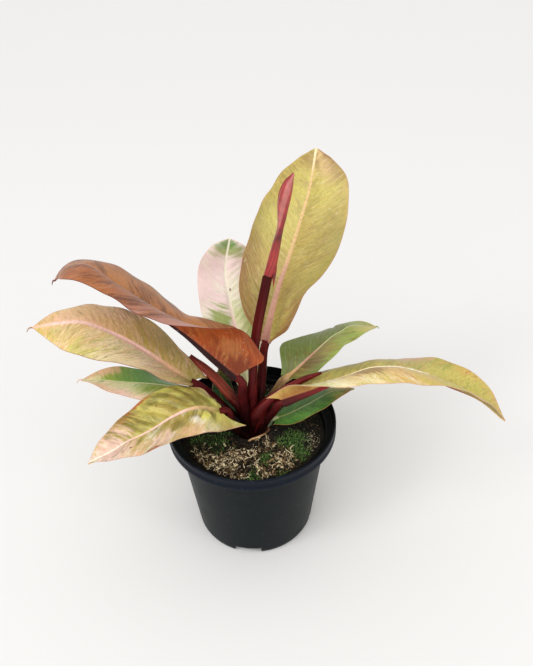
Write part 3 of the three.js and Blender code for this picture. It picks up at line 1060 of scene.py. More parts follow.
@dataclass
class Leaf:
    """A leaf: a fine blade and its stalk.

    Attributes:
        name: The leaf's name, with which its nodes' names start.
        heading: The way it grows in degrees, 0 to the right and 90 to the back.
        stalk: Points along its stalk, from the crown.
        midrib: Points along its midrib, from the blade's base.
        half_widths: The half widths at even steps along the midrib, in millimetres.
        rise_left: How steeply the left half leaves the midrib at even steps, in degrees.
        rise_right: The same for the right half.
        curl_left: How far the left half bends on from there to its margin, in degrees.
        curl_right: The same for the right half.
        lobes: How far the left and the right margin sweep back at the base, in millimetres.
        finish: The blade's look.
        stalk_finish: The stalk's look.
        rounding: How far the base's corners are rounded off, in millimetres.
        slender: The stalk's thickness against the usual.
        wave: The height of the margin's waves in millimetres.
        quilt: The height of the folds between the side veins in millimetres.
        quilt_pitch: Their spacing in millimetres.
        thread: The length of the thread that the tip ends in, in millimetres.
        rib_depth: How far the midrib stands out below at its base and its tip, in millimetres.
        rib_spread: Its half width there, in the same way.
        blisters: Raised spots: along, across, half size in millimetres and height.
    """

    name: str
    heading: float
    stalk: Sequence[Point]
    midrib: Sequence[Point]
    half_widths: Sequence[float]
    rise_left: Sequence[float]
    rise_right: Sequence[float]
    curl_left: Sequence[float]
    curl_right: Sequence[float]
    lobes: Pair
    finish: LeafFinish
    stalk_finish: StalkFinish
    rounding: float = 0.0
    slender: float = 1.0
    wave: float = 0.5
    quilt: float = 0.16
    quilt_pitch: float = 6.6
    thread: float = 0.0
    rib_depth: Pair = (4.0, 1.0)
    rib_spread: Pair = (1.9, 0.8)
    blisters: Sequence[tuple[float, float, float, float]] = ()

    ROWS = 140
    HALF_COLUMNS = 28
    LOBE_REACH = 0.25
    THICKNESS = 0.75
    MARGIN_THICKNESS = 0.35
    STALK_RADII = (6.0, 4.8, 4.1, 3.8, 3.5)
    NECK = 6.0
    TIP_ROUNDING = 0.04
    WAVE_LENGTH = 27.0
    RIM_REACH = 3.0
    STRAIGHT = 1e-6

    def __post_init__(self) -> None:
        """Lays the midrib's line."""
        self.spine = Route(self.midrib)

    def vein_number(self, along: Array, away: Array) -> Array:
        """How far along the midrib a point's side vein starts, in millimetres.

        Args:
            along: The point's share along the midrib.
            away: Its distance from the midrib across the blade, in millimetres.

        Returns:
            The distance, which is the same all along one vein.
        """
        return along * self.spine.length - 0.42 * away - 0.011 * away**2

    def upper_face(self, along: Array, across: Array) -> Array:
        """Points on the blade's smooth upper face.

        Args:
            along: Shares along the midrib, one for each row.
            across: Places across from 1, left, to -1, right, one for each column.

        Returns:
            The points, row by row.
        """
        centre = self.spine.at(along)
        forward = self.spine.along(along)
        angle = math.radians(self.heading + 90)
        level = np.array([math.cos(angle), math.sin(angle), 0.0])
        sideways = unit(level - (forward @ level)[:, None] * forward)
        outward = np.cross(forward, sideways)
        width = self.width(along)
        near_base = np.maximum(1 - along / self.LOBE_REACH, 0) ** 2
        columns = []
        for place_across in across:
            left = place_across >= 0
            q = abs(place_across)
            rise = np.radians(smoothly(self.rise_left if left else self.rise_right, along))
            curl = np.radians(smoothly(self.curl_left if left else self.curl_right, along))
            curl = np.where(np.abs(curl) < self.STRAIGHT, self.STRAIGHT, curl)
            bend = rise + curl * q
            aside = width * (np.sin(bend) - np.sin(rise)) / curl * (1 if left else -1)
            up = width * (np.cos(rise) - np.cos(bend)) / curl
            back = (self.lobes[0 if left else 1] * q**2.4 - self.rounding * q**8) * near_base
            point = centre + aside[:, None] * sideways + up[:, None] * outward
            columns.append(point - back[:, None] * forward)
        return np.stack(columns, 1)

    def width(self, along: Array) -> Array:
        """The half widths along the blade, drawn in to a rounded tip."""
        return smoothly(self.half_widths, along) * np.sqrt(np.clip((1 - along) / self.TIP_ROUNDING, 0.01, 1))

    def blade(self) -> Skin:
        """The blade as a closed thin surface with its ridge, relief and margins."""
        along = np.linspace(0, 1, self.ROWS + 1)
        half = np.linspace(0, 1, self.HALF_COLUMNS + 1) ** 1.15
        across = np.concatenate([half[::-1], -half[1:]])
        surface = self.upper_face(along, across)
        u, q = np.meshgrid(along, across, indexing="ij")
        width = self.width(along)[:, None]
        away = np.abs(q) * width
        rim = (1 - np.abs(q)) * width
        vein = self.vein_number(u, away)
        normal = unit(np.cross(np.gradient(surface, axis=1), np.gradient(surface, axis=0)))
        surface = surface + normal * self.relief(u, q, away, vein)[..., None]
        ridge = bell(away, np.interp(u, (0, 1), self.rib_spread))
        thicker = self.THICKNESS - self.MARGIN_THICKNESS
        depth = self.MARGIN_THICKNESS + thicker * ramp_up(rim, 0, self.RIM_REACH)
        depth = depth + np.interp(np.sqrt(u), (0, 1), self.rib_depth) * ridge
        below = surface - normal * depth[..., None]
        rows, columns = u.shape
        count = rows * columns
        faces = grid_faces(rows, columns) + grid_faces(rows, columns, start=count, flip=True)
        faces += self._edge(rows, columns, count)
        values = {"along": u, "across": q, "vein": vein, "rim": rim, "spine": away, "under": np.zeros_like(u)}
        both = {key: np.concatenate([value.ravel()] * 2) for key, value in values.items()}
        both["under"][count:] = 1.0
        return Skin(np.vstack([surface.reshape(-1, 3), below.reshape(-1, 3)]), faces, both)

    def relief(self, u: Array, q: Array, away: Array, vein: Array) -> Array:
        """How far the upper face stands off its smooth form.

        Args:
            u: Shares along the blade.
            q: Places across it.
            away: Distances from the midrib.
            vein: Where each point's side vein starts.

        Returns:
            The heights in millimetres.
        """
        inside = ramp_up(away, 1.5, 6) * (1 - np.abs(q) ** 6)
        folds = vein + 1.6 * np.sin(vein / 9.3 + away / 7.1 + self.heading)
        quilt = self.quilt * np.cos(2 * math.pi * folds / self.quilt_pitch) * inside
        channel = -0.5 * bell(away, 1.6) * (1 - 0.6 * u)
        round_trip = 2 * math.pi * u * self.spine.length / self.WAVE_LENGTH
        fade = np.abs(q) ** 4 * np.sin(math.pi * u) ** 0.5
        wave = np.sin(round_trip + 1.7 * np.sign(q) + self.heading) * fade
        height = quilt + channel + self.wave * wave
        for along, across, reach, rise in self.blisters:
            off = ((u - along) * self.spine.length) ** 2 + ((q - across) * self.width(u[:, 0])[:, None]) ** 2
            height = height + rise * np.exp(-off / reach**2)
        return height

    def _edge(self, rows: int, columns: int, count: int) -> list[tuple[int, ...]]:
        """The faces between the upper and the lower face, all round the blade.

        Args:
            rows: How many rows of points the upper face has.
            columns: How many points a row has.
            count: How many points the upper face has.

        Returns:
            The faces.
        """
        faces = []
        last = columns - 1
        final = (rows - 1) * columns
        for row in range(rows - 1):
            here, ahead = row * columns, (row + 1) * columns
            faces.append((here, ahead, ahead + count, here + count))
            faces.append((here + last + count, ahead + last + count, ahead + last, here + last))
        for column in range(columns - 1):
            faces.append((column + count, column + 1 + count, column + 1, column))
            end = final + column
            faces.append((end, end + 1, end + 1 + count, end + count))
        return faces

    def stalk_skin(self) -> Skin:
        """The stalk, which runs on under the blade's base as its midrib."""
        base = self.spine.at(np.array([0.0]))[0]
        forward = self.spine.along(np.array([0.0]))[0]
        sunk = base - np.array([0, 0, 1.2])
        ends = [base - forward * self.NECK, sunk + forward * 3]
        radii = [radius * self.slender for radius in self.STALK_RADII]
        route = Route([*self.stalk, *(tuple(end) for end in ends)])
        return sweep(route, radii, Section.GROOVED, steps=70)

    def build(self) -> None:
        """Makes the blade and the stalk."""
        skins = [self.blade()]
        if self.thread:
            skins.append(self._thread())
        blade, petiole = f"{self.name}_blade", f"{self.name}_petiole"
        place(f"{self.name}_fine", Skin.joined(skins), self.finish, self.name, [blade], crease=70)
        place(f"{self.name}_stalk", self.stalk_skin(), self.stalk_finish, "petiole", [petiole])

    def _thread(self) -> Skin:
        """The dry thread at the tip, which curls down."""
        tip = self.spine.at(np.array([1.0]))[0]
        forward = self.spine.along(np.array([1.0]))[0]
        down = np.array([0, 0, -1.0])
        bends = ((-0.1, 0.0), (0.35, 0.05), (0.7, 0.3), (1.0, 0.75))
        points = [
            tuple(tip + forward * self.thread * ahead + down * self.thread * drop) for ahead, drop in bends
        ]
        skin = sweep(Route(points), (0.7, 0.45, 0.3), steps=12, sides=8)
        count = len(skin.points)
        edge = {"along": 1.0, "across": 1.0, "vein": 0.0, "rim": 0.0, "spine": 9.0, "under": 0.0}
        return Skin(skin.points, skin.faces, {key: np.full(count, value) for key, value in edge.items()})


@dataclass
class Scale:
    """A bud scale, a sheath or the rolled new leaf: a swept part that ends in a tip.

    Attributes:
        name: The piece's name.
        node: The node that it stands for.
        slot: A material slot's name.
        route: Points along it.
        radii: Its radii at even steps.
        section: Its section.
        finish: Its look.
        turn: How far its section turns along it, in radians.
        extras: Points and radii of small laps and points that stand on it.
    """

    name: str
    node: str
    slot: str
    route: Sequence[Point]
    radii: Sequence[float]
    section: Section
    finish: StalkFinish
    turn: float = 0.0
    extras: Sequence[tuple[Sequence[Point], Sequence[float]]] = ()

    def build(self) -> None:
        """Makes the part."""
        skins = [sweep(Route(self.route), self.radii, self.section, steps=110, sides=36, turn=self.turn)]
        skins += [sweep(Route(points), radii, steps=24, sides=16) for points, radii in self.extras]
        place(self.name, Skin.joined(skins), self.finish, self.slot, [self.node], crease=40)


@dataclass
class Crown:
    """The short stem with its roots, in millimetres."""

    centre: Pair = (0.0, -4.0)
    low: float = 74.0
    top: float = 133.0
    radius: float = 9.5
    root_count: int = 6
    root_reach: float = 42.0
    root_drop: float = 40.0
    root_radius: float = 2.2
    aerial: Sequence[Point] = (
        (5, -7, 117), (15, -7, 114), (12, -11, 112.5), (5, -15, 111.6), (-1, -17, 111), (-8, -18, 104)
    )
    aerial_radius: float = 0.9

    STEM_SHARES = (0.55, 1.0, 1.0, 0.9, 0.45)
    ROOT_TURNS = ((0.45, 0.0, 0.15), (0.9, 14.0, 0.6), (1.0, 8.0, 1.0))
    UNSHADED = (0.0, 10.0)

    def build(self) -> None:
        """Makes the stem, the roots in the mix and the aerial root."""
        x, y = self.centre
        line = Route([(x, y, self.low), (x, y, (self.low + self.top) / 2), (x, y, self.top)])
        radii = [self.radius * share for share in self.STEM_SHARES]
        stem = sweep(line, radii, steps=60)
        stem_finish = StalkFinish("stem_skin", hues("BRONZE MAROON DARK_MAROON"))
        place("stem", stem, stem_finish, "stem", ["stem_and_roots"])
        skins = []
        for number in range(self.root_count):
            heading = math.radians(30 + 360 / self.root_count * number)
            start = self.low + 6 + 3 * (number % 3)
            points = [(x, y, start)]
            for share, turn, drop in self.ROOT_TURNS:
                angle = heading + math.radians(turn)
                reach = self.root_reach * share
                fallen = start - self.root_drop * drop
                points.append((reach * math.cos(angle), reach * math.sin(angle), fallen))
            radii = (self.root_radius, self.root_radius, self.root_radius * 0.6)
            skins.append(sweep(Route(points), radii, steps=30, sides=12))
        root_finish = StalkFinish(
            "root_skin", hues("HONEY BRONZE"), Hue.BRONZE, 0.4, 0.7, painted_shade_to=self.UNSHADED
        )
        place("roots", Skin.joined(skins), root_finish, "stem")
        aerial = sweep(Route(self.aerial), (self.aerial_radius,), steps=60, sides=10)
        aerial_finish = StalkFinish(
            "aerial_root_skin", hues("MAROON UMBER HONEY BRONZE"), Hue.DUSTY_PINK, 0.6, 0.6,
            painted_shade_to=self.UNSHADED,
        )
        place("aerial_root", aerial, aerial_finish, "stem")


@dataclass
class Pot:
    """The nursery pot: one turned wall with a stepped, beaded rim, notches and drain holes."""

    height: float = 121.0
    rim_radius: float = 75.0
    rim_height: float = 10.0
    rim_wall: float = 1.8
    rim_bead: float = 0.7
    wall: float = 1.6
    body_top_radius: float = 67.0
    body_low_radius: float = 54.5
    foot_rounding: float = 4.0
    foot_depth: float = 8.5
    foot_width: float = 4.0
    floor_thickness: float = 2.4
    hub_radius: float = 12.0
    segments: int = 176
    notch_count: int = 4
    notch_heading: float = 262.0
    notch_width: float = 25.0
    notch_height: float = 8.2
    drain_radius: float = 5.0
    drain_circle: float = 36.0

    CORNER_SHARE = 0.48
    CORNER_STEPS = (0.0, 0.25, 0.5, 0.75, 1.0)
    LONGEST_ROW = 4.0

    @property
    def ledge(self) -> float:
        """The height where the body meets the rim."""
        return self.height - self.rim_height

    @property
    def foot_inner(self) -> float:
        """The inner radius of the foot ring."""
        return self.body_low_radius - self.foot_rounding * 0.5 - self.foot_width

    def outline(self) -> list[tuple[float, float, float]]:
        """The wall's section: radius, height and how far each corner is rounded."""
        floor_top = self.foot_depth + self.floor_thickness
        foot_outer = self.body_low_radius - self.foot_rounding * 0.5
        rim_inner = self.rim_radius - self.rim_wall
        beaded = self.rim_radius - self.rim_bead
        return [
            (0, 0, 0), (self.hub_radius, 0, 0.6), (self.hub_radius, self.foot_depth, 1.0),
            (self.foot_inner, self.foot_depth, 1.0), (self.foot_inner, 0, 0.8), (foot_outer, 0, 1.0),
            (self.body_low_radius, self.foot_rounding, 5.0),
            (self.body_top_radius, self.ledge - self.wall, 1.2),
            (self.rim_radius, self.ledge - self.wall, 0.9),
            (self.rim_radius, self.ledge + self.wall, 0.8),
            (beaded, self.ledge + 2 * self.wall, 0.8),
            (beaded, self.height - 2 * self.wall, 0.8),
            (self.rim_radius, self.height - self.wall, 0.7),
            (beaded, self.height, 0.5), (rim_inner, self.height, 0.6),
            (rim_inner - self.rim_bead, self.ledge, 0.8), (self.body_top_radius - self.wall, self.ledge, 0.9),
            (self.body_low_radius - self.wall, floor_top + self.foot_rounding, 3.0),
            (self.body_low_radius - self.foot_rounding, floor_top, 1.5), (0, floor_top, 0),
        ]

    def rounded_outline(self) -> Array:
        """The section with its corners rounded, as radius and height."""
        corners = self.outline()
        line: list[Array] = []
        for before, corner, after in zip(corners, corners[1:], corners[2:]):
            here = np.array(corner[:2])
            back = np.array(before[:2]) - here
            on = np.array(after[:2]) - here
            longest = self.CORNER_SHARE * min(np.linalg.norm(back), np.linalg.norm(on))
            cut = min(corner[2], longest)
            start = here + unit(back) * cut
            end = here + unit(on) * cut
            for share in self.CORNER_STEPS:
                line.append((1 - share) ** 2 * start + 2 * share * (1 - share) * here + share**2 * end)
        return np.array([corners[0][:2], *line, corners[-1][:2]])

    def wall_skin(self) -> Skin:
        """The turned wall, with extra rows up its long stretches."""
        line = self.rounded_outline()
        rows = [line[0]]
        for start, end in zip(line, line[1:]):
            parts = max(1, math.ceil(np.linalg.norm(end - start) / self.LONGEST_ROW))
            rows += [start + (end - start) * (part + 1) / parts for part in range(parts)]
        section = np.array(rows)
        angles = np.linspace(0, 2 * math.pi, self.segments, endpoint=False)
        middle = section[1:-1]
        reach = middle[:, :1]
        heights = np.repeat(middle[:, 1:], len(angles), 1)
        rings = np.stack([reach * np.cos(angles), reach * np.sin(angles), heights], -1)
        points = np.vstack([rings.reshape(-1, 3), [0, 0, section[0][1]], [0, 0, section[-1][1]]])
        faces = tube_faces(len(middle), self.segments)
        inner = np.arange(len(middle)) > np.argmax(middle[:, 1] + middle[:, 0] * 0.001)
        within = np.append(np.repeat(inner.astype(float), self.segments), [0.0, 1.0])
        return Skin(points, faces, {"height": points[:, 2], "within": within})

    def cutters(self) -> list[Skin]:
        """The solids that the notches and the drain holes are cut with."""
        skins = []
        for number in range(self.notch_count):
            heading = math.radians(self.notch_heading + 360 / self.notch_count * number)
            out = np.array([math.cos(heading), math.sin(heading), 0.0])
            aside = np.array([-math.sin(heading), math.cos(heading), 0.0])
            centre = out * (self.foot_inner + self.foot_width * 1.6)
            corners = []
            for height in (-self.notch_height, self.notch_height):
                for far, wide in ((-2, -0.5), (2, -0.5), (2, 0.5), (-2, 0.5)):
                    corner = centre + out * far * self.foot_width + aside * wide * self.notch_width
                    corners.append(corner + [0, 0, height])
            box = [(3, 2, 1, 0), (4, 5, 6, 7), (0, 1, 5, 4), (1, 2, 6, 5), (2, 3, 7, 6), (3, 0, 4, 7)]
            skins.append(Skin(np.array(corners), box, {}))
            foot = out * self.drain_circle
            top = self.foot_depth + 3 * self.floor_thickness
            drain = Route([tuple(foot), tuple(foot + [0, 0, top / 2]), tuple(foot + [0, 0, top])])
            tube = sweep(drain, (self.drain_radius,), steps=2, sides=24)
            skins.append(Skin(tube.points, tube.faces, {}))
        return skins

    def build(self) -> None:
        """Makes the pot."""
        pot = place("nursery_pot", self.wall_skin(), PotFinish("charcoal_plastic"), "pot", ["pot"], crease=32)
        cutter_mesh = bpy.data.meshes.new("pot_cuts")
        cuts = Skin.joined(self.cutters())
        cutter_mesh.from_pydata((cuts.points * MM).tolist(), [], cuts.faces)
        cutter = in_scene("pot_cuts", cutter_mesh)
        cut = pot.modifiers.new("cuts", "BOOLEAN")
        cut.operation = "DIFFERENCE"
        cut.solver = "EXACT"
        cut.object = cutter
        shaped = bpy.data.meshes.new_from_object(pot.evaluated_get(bpy.context.evaluated_depsgraph_get()))
        pot.modifiers.clear()
        pot.data = shaped
        bpy.data.objects.remove(cutter)
        log.info("nursery_pot: %d faces once cut", len(shaped.polygons))


def icosahedron_corners() -> Array:
    """The corners of a twenty-sided crumb."""
    golden = (1 + math.sqrt(5)) / 2
    corners = np.array([(a, b * golden, 0) for a in (-1, 1) for b in (-1, 1)])
    return np.vstack([corners, np.roll(corners, 1, 1), np.roll(corners, 2, 1)])


def icosahedron_faces() -> list[tuple[int, ...]]:
    """The faces of a twenty-sided crumb, found as the nearest triples of its corners."""
    longest_side = 2.1
    faces = []
    for trio in combinations(range(len(CRUMB_CORNERS)), 3):
        a, b, c = CRUMB_CORNERS[list(trio)]
        if max(np.linalg.norm(a - b), np.linalg.norm(b - c), np.linalg.norm(c - a)) < longest_side:
            outward = np.dot(np.cross(b - a, c - a), a + b + c) > 0
            faces.append(trio if outward else (trio[0], trio[2], trio[1]))
    return faces


CRUMB_CORNERS = icosahedron_corners()
CRUMB_FACES = icosahedron_faces()


@dataclass
class PottingMix:
    """The mix, with what lies and grows on it, in millimetres.

    Attributes:
        strand_beds: Where dried moss strands lie: x, y and reach in millimetres, and weight.
        moss_beds: Where green moss grows, in the same way.
        grain_beds: Where pale grains lie, in the same way.
    """

    floor: float = 11.2
    low_radius: float = 52.6
    top_radius: float = 64.4
    rounding: float = 4.0
    edge_height: float = 106.0
    dome: float = 4.0
    lump: float = 1.1
    dome_radius: float = 67.0
    rings: int = 84
    segments: int = 300
    flake_count: int = 1050
    curl_count: int = 560
    leaflet_count: int = 130
    strand_beds: Beds = (
        (-34, -40, 9, 2.2), (-22, -48, 10, 2.4), (-12, -34, 8, 1.6), (-14, -54, 6, 1.0), (26, -38, 8, 1.8),
        (30, -48, 6, 0.8), (12, -54, 6, 0.6), (14, -24, 6, 0.7), (4, -32, 5, 0.6), (-44, -30, 6, 0.7),
        (0, -40, 26, 1.2), (20, 30, 25, 0.3), (-30, 20, 22, 0.3),
    )
    moss_beds: Beds = (
        (38, -16, 8, 3.0), (40, -30, 8, 2.2), (28, -22, 8, 1.2), (-30, -33, 4, 0.7), (12, -38, 5, 1.2),
        (2, -58, 6, 1.0), (26, -56, 5, 0.6), (-30, -16, 9, 1.4), (-46, -14, 6, 0.6), (8, 34, 14, 1.0),
        (-34, 30, 12, 0.8), (44, 20, 10, 0.6),
    )
    grain_beds: Beds = ((52, -18, 9, 2.0), (30, 34, 14, 1.0), (0, 0, 70, 1.0))
    moss_count: int = 6500
    chip_count: int = 1500
    speck_count: int = 460
    seed: int = 7

    EDGE = 2.5
    STEM_REACH = 8.0
    TRIES = 60
    FALLBACK = (40.0, 0.0)

    def height_at(self, x: float, y: float) -> float:
        """The height of the mix without its crumbs.

        Args:
            x: The place to the right of the pot's axis.
            y: The place behind it.

        Returns:
            The height in millimetres.
        """
        reach = math.hypot(x, y) / self.dome_radius
        lumps = math.sin(x / 5.1 + 1.3) * math.cos(y / 4.3)
        lumps += 0.6 * math.sin(x / 2.9 - y / 3.7) + 0.5 * math.cos(x / 7.7 + y / 2.6)
        return self.edge_height + self.dome * (1 - reach * reach) + self.lump * lumps * max(0.0, 1 - reach**6)

    def crumbs_at(self, x: float, y: float) -> float:
        """How far the crumbs stand off the mix.

        Args:
            x: The place to the right of the pot's axis.
            y: The place behind it.

        Returns:
            The distance in millimetres.
        """
        coarse = noise(Vector((x / 6.0, y / 6.0, 3.1)))
        middle = noise(Vector((x / 2.6, y / 2.6, 7.7)))
        fine = noise(Vector((x / 1.2, y / 1.2, 1.9)))
        return 1.3 * coarse + 0.9 * middle + 0.4 * fine

    def bed(self) -> Skin:
        """The body of the mix, closed all round."""
        angles = np.linspace(0, 2 * math.pi, self.segments, endpoint=False)
        low = [(self.low_radius - self.rounding, self.floor), (self.low_radius, self.floor + self.rounding)]
        radii, heights = (self.low_radius, self.top_radius), (16, 105)
        wall = [(np.interp(share, (0, 1), radii), np.interp(share, (0, 1), heights))
                for share in np.linspace(0.1, 1, 10)]
        top = [(self.top_radius * (1 - ring / self.rings), None) for ring in range(self.rings)]
        rows = []
        for radius, height in [*low, *wall, *top]:
            ring = np.stack([radius * np.cos(angles), radius * np.sin(angles), np.zeros_like(angles)], -1)
            if height is None:
                for point in ring:
                    loose = 1 - (math.hypot(point[0], point[1]) / self.top_radius) ** 10
                    point[2] = self.height_at(point[0], point[1]) + self.crumbs_at(point[0], point[1]) * loose
            else:
                ring[:, 2] = height
            rows.append(ring)
        points = np.vstack([*rows, [0, 0, self.floor], [0, 0, self.height_at(0, 0)]])
        faces = tube_faces(len(rows), self.segments)
        shade = np.array([0.5 + 0.5 * noise(Vector(point) / 3.0) for point in points])
        return Skin(points, faces, {"shade": shade})

    def spot(self, draw: Random, beds: Beds = ()) -> Pair:
        """A place on the mix, drawn from beds or, with none, from all over.

        Args:
            draw: Where random numbers come from.
            beds: The beds: x, y and reach in millimetres, and weight.

        Returns:
            The place's x and y.
        """
        weights = np.array([bed[3] for bed in beds])
        for _ in range(self.TRIES):
            if len(beds):
                x, y, reach = beds[draw.choice(len(beds), p=weights / weights.sum())][:3]
                x, y = x + draw.normal() * reach * 0.6, y + draw.normal() * reach * 0.6
            else:
                x, y = draw.uniform(-self.top_radius, self.top_radius, 2)
            if math.hypot(x, y) < self.top_radius - self.EDGE and math.hypot(x, y + 4) > self.STEM_REACH:
                return x, y
        return self.FALLBACK

    def sliver(self, draw: Random, length: float, width: float, curl: float, steps: int) -> Skin:
        """One dried sliver of moss, which lies bent on the mix.

        Args:
            draw: Where random numbers come from.
            length: Its length in millimetres.
            width: Its half width in millimetres.
            curl: How far it may turn at each step, in radians.
            steps: How many stretches it has.

        Returns:
            The sliver.
        """
        x, y = self.spot(draw, self.strand_beds)
        heading = draw.uniform(0, 2 * math.pi)
        lift = draw.uniform(0.2, 2.2)
        slope = draw.normal() * 0.35
        line = []
        for step in range(steps + 1):
            share = step / steps
            rise = slope * length * (share - 0.5) + 0.9 * math.sin(math.pi * share) * draw.uniform(0.2, 1.0)
            line.append((x, y, self.height_at(x, y) + max(lift + rise, 0.1)))
            heading += draw.normal() * curl
            if math.hypot(x, y) > self.top_radius - 4:
                heading = math.atan2(-y, -x) + draw.normal() * 0.3
            x += math.cos(heading) * length / steps
            y += math.sin(heading) * length / steps
        centres = np.array(line)
        ahead = unit(np.gradient(centres, axis=0))
        tilted = unit(np.array([draw.normal() * 0.5, draw.normal() * 0.5, 1.0]))
        aside = unit(np.cross(ahead, tilted))
        upward = np.cross(aside, ahead)
        swell = width * (0.3 + 0.7 * np.sin(math.pi * np.linspace(0.12, 0.9, steps + 1)))[:, None]
        above, below = upward * swell * 0.5, upward * swell * 0.3
        ring = [centres + aside * swell, centres + above, centres - aside * swell, centres - below]
        points = np.stack(ring[::-1], 1).reshape(-1, 3)
        faces = grid_faces(steps + 1, 4, wrap=True)
        final = steps * 4
        faces += [(3, 2, 1, 0), (final, final + 1, final + 2, final + 3)]
        light = draw.uniform(0, 1) ** 1.5 + 0.45 * noise(Vector((x / 7, y / 7, 5.5)))
        return Skin(points, faces, {"shade": np.full(len(points), light)})

    def spike(self, draw: Random) -> Skin:
        """One little stem of green moss.

        Args:
            draw: Where random numbers come from.

        Returns:
            The stem.
        """
        x, y = self.spot(draw, self.moss_beds)
        root = np.array([x, y, self.height_at(x, y) - 0.4])
        tip = root + [draw.normal() * 1.3, draw.normal() * 1.3, draw.uniform(0.9, 3.0)]
        turn = draw.uniform(0, 2 * math.pi)
        thick = draw.uniform(0.3, 0.6)
        corners = [turn + step for step in (0.0, 2.1, 4.2)]
        base = [root + thick * np.array([math.cos(angle), math.sin(angle), 0.0]) for angle in corners]
        faces = [(2, 1, 0), (0, 1, 3), (1, 2, 3), (2, 0, 3)]
        return Skin(np.array([*base, tip]), faces, {"shade": np.full(4, draw.uniform(0, 1))})

    def lump_skin(
        self, draw: Random, size: Pair, flat: float, beds: Beds = ()
    ) -> Skin:
        """One angular crumb of bark or grain.

        Args:
            draw: Where random numbers come from.
            size: Its least and greatest half size in millimetres.
            flat: Its height against its width.
            beds: Where it may lie: x, y and reach in millimetres, and weight.

        Returns:
            The crumb.
        """
        x, y = self.spot(draw, beds)
        corners = unit(CRUMB_CORNERS) * draw.uniform(0.7, 1.2, (len(CRUMB_CORNERS), 1)) * draw.uniform(*size)
        corners = corners * [1.0, draw.uniform(0.45, 1.0), flat * draw.uniform(0.6, 1.2)]
        turn = Matrix.Rotation(draw.uniform(0, 6.3), 3, "Z") @ Matrix.Rotation(draw.normal() * 0.5, 3, "X")
        points = corners @ np.array(turn).T + [x, y, self.height_at(x, y) + 0.3]
        return Skin(points, CRUMB_FACES, {"shade": np.full(len(points), draw.uniform(0, 1))})

    def build(self) -> None:
        """Makes the mix and what lies and grows on it."""
        draw = np.random.default_rng(self.seed)
        slot = "potting_mix"
        soil = CrumbFinish("dark_mix", tint(5, 5, 4), tint(30, 25, 18), 0.95, 0.9)
        place("mix_bed", self.bed(), soil, slot, ["potting_mix"], crease=80)
        chips = Skin.joined(self.lump_skin(draw, (0.6, 2.0), 0.5) for _ in range(self.chip_count))
        place("bark_chips", chips, CrumbFinish("bark", tint(8, 7, 6), tint(58, 46, 34)), slot, crease=20)
        flakes = [self.sliver(draw, draw.uniform(1.5, 4.5), draw.uniform(0.2, 0.6), 0.35, 4)
                  for _ in range(self.flake_count)]
        curls = [self.sliver(draw, draw.uniform(4, 12), draw.uniform(0.16, 0.38), 0.62, 12)
                 for _ in range(self.curl_count)]
        leaves = [self.sliver(draw, draw.uniform(2.5, 6.0), draw.uniform(0.6, 1.2), 0.5, 6)
                  for _ in range(self.leaflet_count)]
        tan = CrumbFinish("dried_moss", tint(30, 23, 14), tint(236, 218, 178), 0.85, 0.3, tint(122, 96, 60))
        place("dried_moss_strands", Skin.joined(flakes + curls + leaves), tan, slot, crease=60)
        moss = Skin.joined(self.spike(draw) for _ in range(self.moss_count))
        green = CrumbFinish("moss_green", tint(16, 34, 14), tint(132, 166, 88), 0.7, 0.2, tint(50, 88, 36))
        place("green_moss", moss, green, slot, crease=30)
        specks = [self.lump_skin(draw, (0.25, 0.65), 0.8, self.grain_beds) for _ in range(self.speck_count)]
        pale = CrumbFinish("grain", tint(84, 72, 54), tint(196, 182, 154))
        place("pale_grains", Skin.joined(specks), pale, slot, crease=30)


